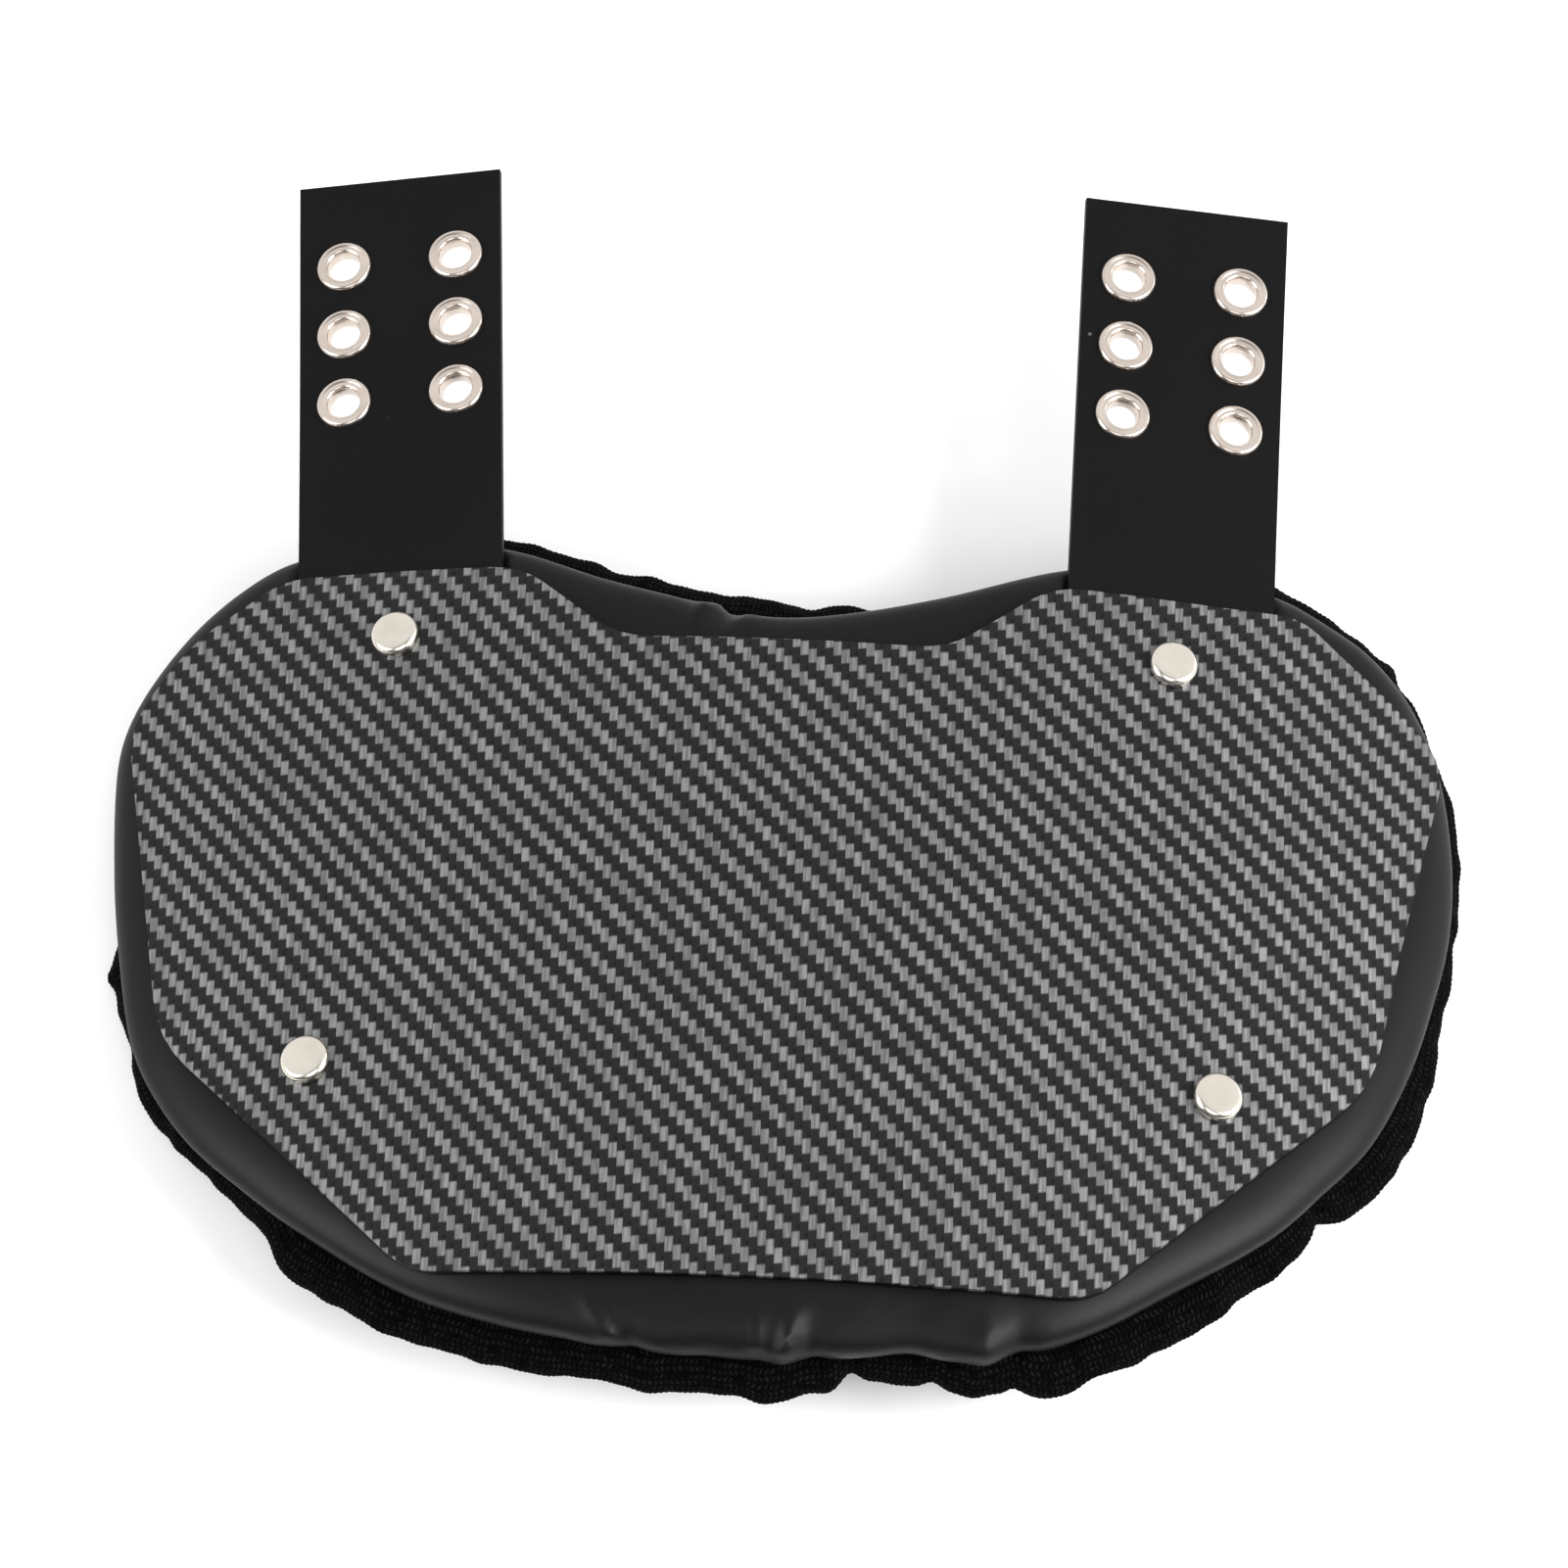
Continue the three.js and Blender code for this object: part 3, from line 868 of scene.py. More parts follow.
@dataclass(frozen=True)
class Knit:
    """Coarse black knit, slanted stitches in rows along the rim.

    The map of the piece runs round the rim and over its edge.

    Attributes:
        chart: Name of the map.
        stitch: Width of a stitch, in millimetres.
        row: Height of a row of stitches.
        lean: How far a stitch leans, in stitches.
        shift: How far each row is shifted against the one before.
        drift: How far stitches and rows drift off their places.
        plump: Distances from a row's middle between which its stitches flatten, in half rows.
        stitch_height: Share of the stitches in the relief.
        fuzz_height: Share of the loose fibres in it.
        unevenness: Grains of the stitches' drift in a metre.
        fuzz: Grains of the loose fibres in a metre.
        luck: Grains of lighter and darker yarn in a metre.
        light: Noise between which the yarn turns from dark to light.
        rough: Roughness of the yarn.
        relief: Depth of the stitches, in millimetres.
        strength: How strongly that shows.
        base: Near-black colour where the relief is low or the yarn darkest; painted shade between
            the yarns.
        yarn: Colour of the yarn.
    """

    chart: str = "rim"
    stitch: float = 1.5
    row: float = 2.1
    lean: float = 0.55
    shift: float = 0.5
    drift: Pair = (1.4, 0.7)
    plump: Pair = (0.35, 1.0)
    stitch_height: float = 0.8
    fuzz_height: float = 0.3
    unevenness: float = 110.0
    fuzz: float = 1500.0
    luck: float = 330.0
    light: Pair = (0.3, 0.7)
    rough: float = 0.72
    relief: float = 0.7
    strength: float = 0.9
    base: Triple = (0.0002, 0.0002, 0.0003)
    yarn: Triple = (0.012, 0.012, 0.0126)

    def material(self) -> bpy.types.Material:
        """Builds the knit's material."""
        sheet = Sheet.finish(
            "knit", Specular_IOR_Level=0.03, Sheen_Weight=0.002, Sheen_Roughness=0.5
        )
        chart = sheet.chart(self.chart)
        wander = sheet.noise(chart, self.unevenness, 3.0) - 0.5
        drift_around, drift_over = self.drift
        x = sheet.split(chart)
        rows = x.beside("Y") / (self.row * MM) + wander * drift_over
        course = rows.floor()
        inside = rows - course
        way = (course % 2.0) * 2.0 - 1.0
        lean = way * inside * self.lean
        stitches = x / (self.stitch * MM) + lean + wander * drift_around + course * self.shift
        stitch = (stitches * FULL_TURN).cosine() * 0.5 + 0.5
        plump = 1.0 - ((inside - 0.5) * 2.0).size().ramp(*self.plump)
        fuzz = sheet.noise(chart, self.fuzz, 2.0)
        height = stitch * plump * self.stitch_height + fuzz * self.fuzz_height
        luck = sheet.noise(chart, self.luck, 2.0).ramp(*self.light)
        # Painted shade: the colour darkens with the square of the relief's height, to near black
        # between the yarns; the yarn also varies lighter and darker at random.
        sheet.vary(
            Base_Color=sheet.blend(height * height * luck, self.base, self.yarn),
            Roughness=fuzz * 0.1 + self.rough,
            Normal=sheet.bump(height, self.relief, self.strength),
        )
        return sheet.material


@dataclass(frozen=True)
class Arch:
    """Round arch that the plate, the pad and the liner share.

    Attributes:
        radius: Radius of the plate's outer face, in millimetres.
        middle: Middle line of the arch, in metres.
        bottom: Bottom edge of the plate, in metres.
        top: Crown of the plate's outer face, in metres.
    """

    radius: float
    middle: float
    bottom: float
    top: float

    @classmethod
    def of_plate(cls, radius: float = 530.0) -> "Arch":
        """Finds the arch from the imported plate."""
        low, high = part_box("outer_plate")
        return cls(radius, (low.x + high.x) / 2, low.y, high.z)

    def lay(self, across: np.ndarray, along: np.ndarray, height: np.ndarray) -> np.ndarray:
        """Lays points on the arch.

        Args:
            across: Arc lengths from the middle, in millimetres.
            along: Lengths from the plate's bottom edge, in millimetres.
            height: Heights over the plate's outer face, in millimetres.

        Returns:
            Places in metres, a row for each point.
        """
        angle = across / self.radius
        reach = (self.radius + height) * MM
        x = self.middle + reach * np.sin(angle)
        z = self.top - self.radius * MM + reach * np.cos(angle)
        return np.stack([x, self.bottom + along * MM, z], axis=1)

    def read(self, places: np.ndarray) -> tuple[np.ndarray, np.ndarray, np.ndarray]:
        """Reads points off the arch.

        Args:
            places: Places in metres, a row for each point.

        Returns:
            Across, along and height of each point, in millimetres.
        """
        x = places[:, 0] - self.middle
        z = places[:, 2] - self.top + self.radius * MM
        across = np.arctan2(x, z) * self.radius
        height = np.hypot(x, z) / MM - self.radius
        return across, (places[:, 1] - self.bottom) / MM, height

    def seat(self, place: Vector) -> Matrix:
        """Frame on the plate's outer face, its z pointing out.

        Args:
            place: Place over or under it, in metres.

        Returns:
            Where a piece on its own axis goes.
        """
        across, along, _ = (float(part[0]) for part in self.read(np.array([place])))
        on_face = self.lay(np.array([across]), np.array([along]), np.array([0.0]))[0]
        return Matrix.Translation(on_face) @ Matrix.Rotation(across / self.radius, 4, "Y")


@dataclass(frozen=True)
class Flex:
    """How a strap's free end lies.

    Attributes:
        longer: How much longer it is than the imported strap.
        left_rise: How far the far left corner rises.
        right_rise: How far the far right corner rises.
        tucked: Length held flat under the plate.
        end: Length past the eyelets that is drawn out.
        bend: Power with which the rise grows towards the end.
    """

    longer: float
    left_rise: float
    right_rise: float
    tucked: float = 45.0
    end: float = 12.0
    bend: float = 1.5


FLEX: Mapping[Side, Flex] = {
    Side.LEFT: Flex(longer=2.3, left_rise=4.0, right_rise=0.0),
    Side.RIGHT: Flex(longer=0.0, left_rise=0.0, right_rise=4.0),
}


@dataclass(frozen=True)
class StrapPlane:
    """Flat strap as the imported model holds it.

    Attributes:
        face: Point on the outer face, in metres.
        out: Direction out of that face.
        run: Direction from the rivet to the cut end.
        aside: Direction across the strap.
        low: Near left corner in aside and run from the face point, in metres.
        high: Far right corner, likewise.
    """

    face: Vector
    out: Vector
    run: Vector
    aside: Vector
    low: Pair
    high: Pair

    @classmethod
    def of_node(cls, side: Side, skin: float = 0.2) -> "StrapPlane":
        """Measures a packed strap.

        Args:
            side: Which strap.
            skin: Points this close to its highest one lie on its outer face, in millimetres.

        Returns:
            Its plane and its corners.
        """
        mounts = frame["record"]["mounts"]
        back = next(m for m in mounts if m["name"].startswith(f"eyelet_{side.value}"))
        out = -Vector(back["axis"]).normalized()
        mesh = frame["nodes"][f"strap_{side.value}"].data
        corners = {tuple(round(part, 6) for part in v.co) for v in mesh.vertices}
        places = np.array(sorted(corners))
        heights = places @ np.array(out)
        level = places[heights > heights.max() - skin * MM]
        face = Vector(level.mean(axis=0))
        spread = level - level.mean(axis=0)
        _, ways = np.linalg.eigh(spread.T @ spread)
        run = Vector(ways[:, -1])
        run = run if run.y > 0 else -run
        aside = run.cross(out).normalized()
        across, along = spread @ np.array(aside), spread @ np.array(run)
        low = (float(across.min()), float(along.min()))
        high = (float(across.max()), float(along.max()))
        return cls(face, out, run, aside, low, high)

    def local(self, places: np.ndarray) -> np.ndarray:
        """Places seen from the strap: aside, run and out, in millimetres."""
        axes = np.array([self.aside, self.run, self.out])
        return (places - np.array(self.face)) @ axes.T / MM

    def flexed(self, places: np.ndarray, flex: Flex) -> np.ndarray:
        """Draws out and twists the free end.

        Args:
            places: Places on the strap, in metres.
            flex: How it flexes.

        Returns:
            Their new places.
        """
        aside, run, _ = self.local(places).T
        left, right = self.low[0] / MM, self.high[0] / MM
        far = self.high[1] / MM
        start = self.low[1] / MM + flex.tucked
        share = np.clip((run - start) / (far - start), 0.0, 1.0)
        across = (aside - left) / (right - left)
        rise = flex.left_rise * (1.0 - across) + flex.right_rise * across
        lift = rise * share**flex.bend
        drawn = flex.longer * np.clip((run - far) / flex.end + 1.0, 0.0, 1.0)
        moved = lift[:, None] * np.array(self.out) + drawn[:, None] * np.array(self.run)
        return places + moved * MM


@dataclass(frozen=True)
class Bulge:
    """Place where the plate's cut edge runs wider than its mirror image.

    Attributes:
        across: Arc length of its middle from the plate's middle.
        along: Length of its middle from the plate's bottom edge.
        out: How far it stands out, across and along.
        width: How far from its middle it has died away to a third.
    """

    across: float
    along: float
    out: Pair
    width: float

    def push(self, across: np.ndarray, along: np.ndarray) -> np.ndarray:
        """How far each point is pushed out, across and along."""
        off = np.hypot(across - self.across, along - self.along)
        return np.exp(-((off / self.width) ** 2))[:, None] * np.array(self.out)


@dataclass
class OuterPlate:
    """Arched shell with the twill film, its edge rounded over.

    Attributes:
        arch: Arch that it lies on.
        finish: Its finish.
        edge_round: Rounding of its edge, in millimetres.
        edge_steps: Faces round that rounding.
        bulges: Places where its outline runs wider.
    """

    arch: Arch
    finish: TwillFilm = field(default_factory=TwillFilm)
    edge_round: float = 0.8
    edge_steps: int = 3
    bulges: tuple[Bulge, ...] = (
        Bulge(178.0, 171.0, (4.0, 2.5), 20.0),
        Bulge(143.0, 203.0, (1.0, 1.3), 12.0),
        Bulge(-168.0, 180.0, (-1.4, 1.1), 18.0),
    )

    def build(self) -> bpy.types.Object:
        """Builds and dresses the plate."""
        bench = Bench.from_node("outer_plate", "plate_shell")
        bench.round_over(self.edge_round, self.edge_steps)
        bench.reshape(self.widened)
        bench.level()
        across, along, height = self.arch.read(bench.places())
        bench.lay_map(self.finish.chart, self.finish.lie(across, along))
        bench.lay_map(self.finish.depth, np.stack([height, height], axis=1) * MM)
        return bench.hand_over("plate", self.finish.material(), "outer_plate")

    def widened(self, places: np.ndarray) -> np.ndarray:
        """Moves the cut edge out at the bulges.

        Args:
            places: Places on the plate, in metres.

        Returns:
            Their new places.
        """
        across, along, height = self.arch.read(places)
        moved = np.stack([across, along], axis=1)
        for bulge in self.bulges:
            moved += bulge.push(across, along)
        return self.arch.lay(moved[:, 0], moved[:, 1], height)


@dataclass
class Straps:
    """The two flat straps, square cut.

    Attributes:
        finish: Their finish.
        edge_round: Rounding of their edges, in millimetres.
        edge_steps: Faces round that rounding.
        cut_pitch: Length between the edges that let them bend.
    """

    finish: StrapPlastic = field(default_factory=StrapPlastic)
    edge_round: float = 0.25
    edge_steps: int = 2
    cut_pitch: float = 12.0

    def build(self) -> list[bpy.types.Object]:
        """Builds and dresses both straps."""
        material = self.finish.material()
        return [self.strap(side, material) for side in Side]

    def strap(self, side: Side, material: bpy.types.Material) -> bpy.types.Object:
        """Builds one strap.

        Args:
            side: Which strap.
            material: Its finish.

        Returns:
            The strap.
        """
        bench = Bench.from_node(f"strap_{side.value}", f"strap_sheet_{side.value}")
        bench.round_over(self.edge_round, self.edge_steps)
        plane, flex = StrapPlane.of_node(side), FLEX[side]
        start, far = plane.low[1] + flex.tucked * MM, plane.high[1]
        steps = np.arange(far - flex.end * MM, start, -self.cut_pitch * MM)
        bench.sliced([plane.face + plane.run * float(step) for step in steps], plane.run)
        bench.reshape(lambda places: plane.flexed(places, flex))
        bench.level()
        return bench.hand_over("strap", material, f"strap_{side.value}")


@dataclass
class Hardware:
    """Rolled eyelets in the straps and cap rivets through the plate.

    Attributes:
        arch: Arch that the rivets sit on.
        ring_finish: Finish of the eyelets.
        cap_finish: Finish of the rivets.
        steps: Faces round a turned piece.
        crease: Edges that turn more than this show, in degrees.
        eyelet_profile: Radius and height over the strap's face, in millimetres.
        rivet_profile: Radius and height over the plate's face.
    """

    arch: Arch
    ring_finish: Nickel = Nickel("ring_nickel", (0.74, 0.65, 0.58), (0.6, 0.52, 0.46))
    cap_finish: Nickel = Nickel("cap_nickel")
    steps: int = 48
    crease: float = 50.0
    eyelet_profile: tuple[Pair, ...] = (
        (4.3, -2.5),
        (4.3, -1.3),
        (4.32, -0.7),
        (4.4, -0.1),
        (4.54, 0.42),
        (4.72, 0.86),
        (5.02, 1.14),
        (5.3, 1.26),
        (5.58, 1.2),
        (5.86, 1.14),
        (6.16, 1.22),
        (6.5, 1.4),
        (6.84, 1.48),
        (7.16, 1.38),
        (7.44, 1.12),
        (7.66, 0.74),
        (7.78, 0.34),
        (7.76, 0.06),
        (7.6, 0.02),
        (4.62, 0.02),
        (4.6, -2.05),
        (6.2, -2.1),
        (6.52, -2.3),
        (6.6, -2.6),
        (6.45, -2.9),
        (6.0, -3.12),
        (5.3, -3.2),
        (4.75, -3.1),
        (4.42, -2.85),
        (4.3, -2.5),
    )
    rivet_profile: tuple[Pair, ...] = (
        (0.0, 3.2),
        (3.0, 3.19),
        (4.9, 3.14),
        (5.3, 3.08),
        (5.55, 2.96),
        (5.95, 2.66),
        (6.3, 2.3),
        (6.46, 1.9),
        (6.5, 1.4),
        (6.5, 0.5),
        (6.44, 0.12),
        (6.3, 0.03),
        (2.4, 0.03),
        (2.4, -2.5),
        (0.0, -2.5),
    )

    def build(self) -> list[bpy.types.Object]:
        """Builds and dresses all eyelets and rivets."""
        return self.eyelets() + self.rivets()

    def eyelets(self) -> list[bpy.types.Object]:
        """Models one eyelet and sets its copies in the straps."""
        metal = self.ring_finish.material()
        pieces: list[bpy.types.Object] = []
        eyelet = self.turned("eyelet", self.eyelet_profile)
        for side in Side:
            plane = StrapPlane.of_node(side)
            for node in self.nodes(f"eyelet_{side.value}"):
                place = self.on_strap(node, plane, FLEX[side])
                copy = eyelet.copied(node.replace("eyelet", "eyelet_ring"), place)
                pieces.append(copy.hand_over("metal", metal, node))
        eyelet.discard()
        return pieces

    def rivets(self) -> list[bpy.types.Object]:
        """Models one rivet and sets its copies on the plate."""
        metal = self.cap_finish.material()
        pieces: list[bpy.types.Object] = []
        rivet = self.turned("rivet", self.rivet_profile)
        for node in self.nodes("rivet"):
            seat = self.arch.seat(self.centre(node))
            copy = rivet.copied(node.replace("rivet", "rivet_cap"), seat)
            pieces.append(copy.hand_over("metal", metal, node))
        rivet.discard()
        return pieces

    def turned(self, name: str, profile: Sequence[Pair]) -> Bench:
        """Turns a profile into a smooth ring or cap.

        Args:
            name: Name of the piece.
            profile: Radius and height pairs.

        Returns:
            Bench with the piece, on its own axis.
        """
        bench = Bench.line(name, profile)
        bench.turn_on_axis(self.steps)
        bench.smooth(self.crease)
        return bench

    def nodes(self, start: str) -> list[str]:
        """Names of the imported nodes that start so."""
        return sorted(name for name in frame["nodes"] if name.startswith(start))

    def centre(self, node: str) -> Vector:
        """Middle of a turned node, which lies on its axis.

        Args:
            node: Name of the node.

        Returns:
            Its middle, in metres.
        """
        points = frame["nodes"][node].data.vertices
        places = {tuple(round(part, 7) for part in point.co) for point in points}
        return sum((Vector(place) for place in sorted(places)), Vector()) / len(places)

    def on_strap(self, node: str, plane: StrapPlane, flex: Flex) -> Matrix:
        """Frame of an eyelet on the strap's outer face.

        Args:
            node: Name of the eyelet's node.
            plane: The strap it sits in.
            flex: How the strap's free end lies.

        Returns:
            Where the eyelet goes.
        """
        middle = self.centre(node)
        on_face = middle - plane.out * (middle - plane.face).dot(plane.out)
        marks = [on_face, on_face + plane.aside * MM, on_face + plane.run * MM]
        origin, right, ahead = (Vector(row) for row in plane.flexed(np.array(marks), flex))
        aside = (right - origin).normalized()
        out = aside.cross(ahead - origin).normalized()
        turn = Matrix((aside, out.cross(aside), out)).transposed().to_4x4()
        return Matrix.Translation(origin) @ turn


@dataclass(frozen=True)
class RimPlace:
    """Place on the pad's outline.

    Attributes:
        across: Share of the pad's half width.
        along: Share of the pad's length.
        proud: How far the liner stands out past the pad there, as a share of its reach.
    """

    across: float
    along: float
    proud: float


@dataclass(frozen=True)
class Rim:
    """Outline of the pad at even steps, starting at the notch and running to the right.

    Attributes:
        points: Across and along at each step, in millimetres.
        outward: Direction out of the outline at each step.
        proud: How far the liner stands out at each step, as a share of its reach.
        length: Length of the outline, in millimetres.
        heart: Point that the rings of pad and liner shrink to.
    """

    points: np.ndarray
    outward: np.ndarray
    proud: np.ndarray
    length: float
    heart: np.ndarray

    def at(self, turn: np.ndarray) -> tuple[np.ndarray, np.ndarray, np.ndarray]:
        """Reads the rim at shares of the way round.

        Args:
            turn: Shares from 0 to 1.

        Returns:
            Point, outward direction and liner's share at each.
        """
        point = np.stack([self.read(turn, axis) for axis in self.points.T], axis=1)
        out = np.stack([self.read(turn, axis) for axis in self.outward.T], axis=1)
        out /= np.linalg.norm(out, axis=1, keepdims=True)
        return point, out, self.read(turn, self.proud)

    def rings(
        self,
        point: np.ndarray,
        out: np.ndarray,
        run: np.ndarray,
        start: np.ndarray,
        stand: np.ndarray,
    ) -> np.ndarray:
        """Lays rings from the heart to the start of the rim, and the rest round the rim.

        Args:
            point: Point of the outline for each point of the cloth.
            out: Direction out of the outline there.
            run: Share of the way from the heart to the start of the rim, 1 on the rim itself.
            start: How far out of the outline the rim starts.
            stand: How far out of the outline the point lies when it is on the rim.

        Returns:
            Across and along of each point, in millimetres.
        """
        edge = point + out * start[:, None]
        flat = self.heart + (edge - self.heart) * run[:, None]
        at_rim = run >= 1.0
        flat[at_rim] = (point + out * stand[:, None])[at_rim]
        return flat

    def read(self, turn: np.ndarray, values: np.ndarray) -> np.ndarray:
        """Reads evenly stepped values between their steps.

        Args:
            turn: Shares of the way round.
            values: A value at each step.

        Returns:
            Value at each share.
        """
        spot = np.arange(len(values) + 1) / len(values)
        return np.interp(turn % 1.0, spot, np.append(values, values[0]))


@dataclass
class PadOutline:
    """Outline of the pad in the flat, drawn as one smooth closed curve.

    Attributes:
        half_width: Half of the pad's width, in millimetres.
        length: Its length.
        below_plate: How far its lower edge lies past the plate's.
        steps: Even steps of the finished outline.
        knot_steps: Steps of the curve from one place to the next.
        level_steps: Steps to either side that the outward direction is taken over.
        heart: Shares of the half width and the length where its rings shrink to.
        places: Places that the curve passes.
    """

    half_width: float = 187.0
    length: float = 233.0
    below_plate: float = 18.0
    steps: int = 2400
    knot_steps: int = 60
    level_steps: int = 12
    heart: Pair = (0.0, 0.5)
    places: tuple[RimPlace, ...] = (
        RimPlace(-0.02, 0.902, 1.13),
        RimPlace(0.086, 0.91, 0.94),
        RimPlace(0.225, 0.939, 0.15),
        RimPlace(0.417, 0.993, 0.1),
        RimPlace(0.6, 1.012, 0.5),
        RimPlace(0.738, 0.991, 1.2),
        RimPlace(0.802, 0.97, 1.1),
        RimPlace(0.877, 0.936, 1.05),
        RimPlace(0.941, 0.88, 0.95),
        RimPlace(0.984, 0.803, 0.95),
        RimPlace(1.005, 0.691, 0.95),
        RimPlace(1.0, 0.592, 0.7),
        RimPlace(0.973, 0.502, 0.9),
        RimPlace(0.936, 0.412, 1.1),
        RimPlace(0.877, 0.318, 1.1),
        RimPlace(0.802, 0.249, 0.6),
        RimPlace(0.727, 0.189, 0.75),
        RimPlace(0.588, 0.112, 0.93),
        RimPlace(0.455, 0.047, 0.86),
        RimPlace(0.321, 0.013, 0.42),
        RimPlace(0.187, 0.009, 0.22),
        RimPlace(0.053, 0.0, 0.6),
        RimPlace(-0.08, 0.0, 0.5),
        RimPlace(-0.214, 0.013, 0.6),
        RimPlace(-0.353, 0.034, 0.68),
        RimPlace(-0.492, 0.073, 0.8),
        RimPlace(-0.642, 0.146, 0.98),
        RimPlace(-0.722, 0.193, 0.3),
        RimPlace(-0.818, 0.258, 0.3),
        RimPlace(-0.888, 0.33, 0.55),
        RimPlace(-0.925, 0.391, 0.55),
        RimPlace(-0.957, 0.494, 0.8),
        RimPlace(-0.979, 0.592, 0.3),
        RimPlace(-0.995, 0.721, 0.1),
        RimPlace(-0.989, 0.781, 0.0),
        RimPlace(-0.957, 0.841, 0.0),
        RimPlace(-0.893, 0.91, 0.0),
        RimPlace(-0.818, 0.961, 0.0),
        RimPlace(-0.743, 0.991, 0.1),
        RimPlace(-0.588, 1.009, 0.5),
        RimPlace(-0.412, 0.99, 0.94),
        RimPlace(-0.262, 0.948, 0.92),
        RimPlace(-0.118, 0.918, 1.08),
    )

    def rim(self) -> Rim:
        """Draws the curve through the places and steps along it evenly."""
        knots = np.array([self.flat(place.across, place.along) for place in self.places])
        share = np.array([place.proud for place in self.places])
        line, proud = self.curve(knots, share)
        loop = np.vstack([line, line[:1]])
        stretch = np.linalg.norm(np.diff(loop, axis=0), axis=1)
        reach = np.concatenate([[0.0], np.cumsum(stretch)])
        even = np.arange(self.steps) / self.steps * reach[-1]
        points = np.stack([np.interp(even, reach, loop[:, axis]) for axis in (0, 1)], axis=1)
        proud = np.interp(even, reach, np.append(proud, proud[0]))
        ahead, behind = (np.roll(points, k * self.level_steps, axis=0) for k in (-1, 1))
        way = ahead - behind
        outward = np.stack([-way[:, 1], way[:, 0]], axis=1)
        outward /= np.linalg.norm(outward, axis=1, keepdims=True)
        return Rim(points, outward, proud, float(reach[-1]), np.array(self.flat(*self.heart)))

    def flat(self, across: float, along: float) -> Pair:
        """Across and along of a place that is given in shares of the half width and the length."""
        return across * self.half_width, along * self.length - self.below_plate

    def curve(self, knots: np.ndarray, share: np.ndarray) -> tuple[np.ndarray, np.ndarray]:
        """Smooth closed curve through the knots.

        Args:
            knots: Points to pass.
            share: A value carried at each.

        Returns:
            Close points of the curve, and the value at each.
        """
        steps = np.linspace(0.0, 1.0, self.knot_steps, endpoint=False)[:, None]
        t2, t3 = steps**2, steps**3
        ease = (3 * t2 - 2 * t3)[:, 0]
        line: list[np.ndarray] = []
        carried: list[np.ndarray] = []
        count = len(knots)
        for i in range(count):
            a, b, c, d = (knots[(i + k) % count] for k in (-1, 0, 1, 2))
            span = np.linalg.norm(c - b)
            leave = (c - a) / np.linalg.norm(c - a) * span
            arrive = (d - b) / np.linalg.norm(d - b) * span
            line.append(
                b * (2 * t3 - 3 * t2 + 1)
                + leave * (t3 - 2 * t2 + steps)
                + c * (3 * t2 - 2 * t3)
                + arrive * (t3 - t2)
            )
            carried.append(share[i] * (1 - ease) + share[(i + 1) % count] * ease)
        return np.vstack(line), np.concatenate(carried)


@dataclass(frozen=True)
class Section:
    """Rounded section of a cushion at its rim.

    Attributes:
        top: Height of the flat outer face.
        thickness: From outer to inner face.
        top_round: How far from the rim the outer face starts to fall.
        under_round: How far from the rim the inner face starts to rise.
        squareness: 2 for an oval rim, more for a squarer one.
        outer_share: Share of the rings on the outer face.
        rim_share: Share of the rings round the rim.
    """

    top: float
    thickness: float
    top_round: float
    under_round: float
    squareness: float = 2.3
    outer_share: float = 0.25
    rim_share: float = 0.6

    def lay(self, way: np.ndarray) -> tuple[np.ndarray, ...]:
        """Shape of the section along its way from the outer middle to the inner middle.

        Args:
            way: Shares of the rings, 0 at the outer middle and 1 at the inner middle.

        Returns:
            Share of the run from the middle to where the rim starts, inset of that start, inset
            of the point and height, in millimetres, and turn round the rim from 1 on top to -1
            underneath.
        """
        rim = np.clip((way - self.outer_share) / self.rim_share, 0.0, 1.0)
        angle = (0.5 - rim) * np.pi
        power = 2.0 / self.squareness
        fall = np.abs(np.cos(angle)) ** power
        lift = np.sign(angle) * np.abs(np.sin(angle)) ** power
        round_off = np.where(angle > 0, self.top_round, self.under_round)
        inset = round_off * (1.0 - fall)
        height = self.top - self.thickness / 2 * (1.0 - lift)
        under_share = 1.0 - self.outer_share - self.rim_share
        run = np.where(
            way < self.outer_share,
            way / self.outer_share,
            np.where(rim >= 1.0, (1.0 - way) / under_share, 1.0),
        )
        return np.clip(run, 0.0, 1.0), round_off, inset, height, lift


def cushion_places(cloth: np.ndarray) -> tuple[np.ndarray, np.ndarray]:
    """Turn round the rim and way over it for each point of the square cloth.

    Args:
        cloth: Places on the cloth, from -0.5 to 0.5 each way.

    Returns:
        Turn from 0 to 1, from the notch round to the right, and way from 0 in the middle of the
        outer face to 1 in the middle of the inner one.
    """
    turn, way = np.round(cloth[:, :2] + 0.5, 6).T
    return turn, way


@dataclass(frozen=True)
class Ruffle:
    """Gather in the liner's rim.

    Attributes:
        turn: Where it is, as a share of the way round from the notch.
        width: Half of its width.
        reach: How far it stands out, or is drawn in below 0.
    """

    turn: float
    width: float
    reach: float


@dataclass(frozen=True)
class Wave:
    """Even wave round the rim.

    Attributes:
        count: Waves on the whole way round.
        depth: Half of its height.
        start: Where in the wave it starts, in radians.
    """

    count: int
    depth: float
    start: float


def waved(turn: np.ndarray, waves: Sequence[Wave]) -> np.ndarray:
    """Sum of waves round the rim.

    Args:
        turn: Shares of the way round.
        waves: The waves.

    Returns:
        Their sum at each share.
    """
    total = np.zeros(len(turn))
    for wave in waves:
        total += wave.depth * np.cos(FULL_TURN * wave.count * turn + wave.start)
    return total


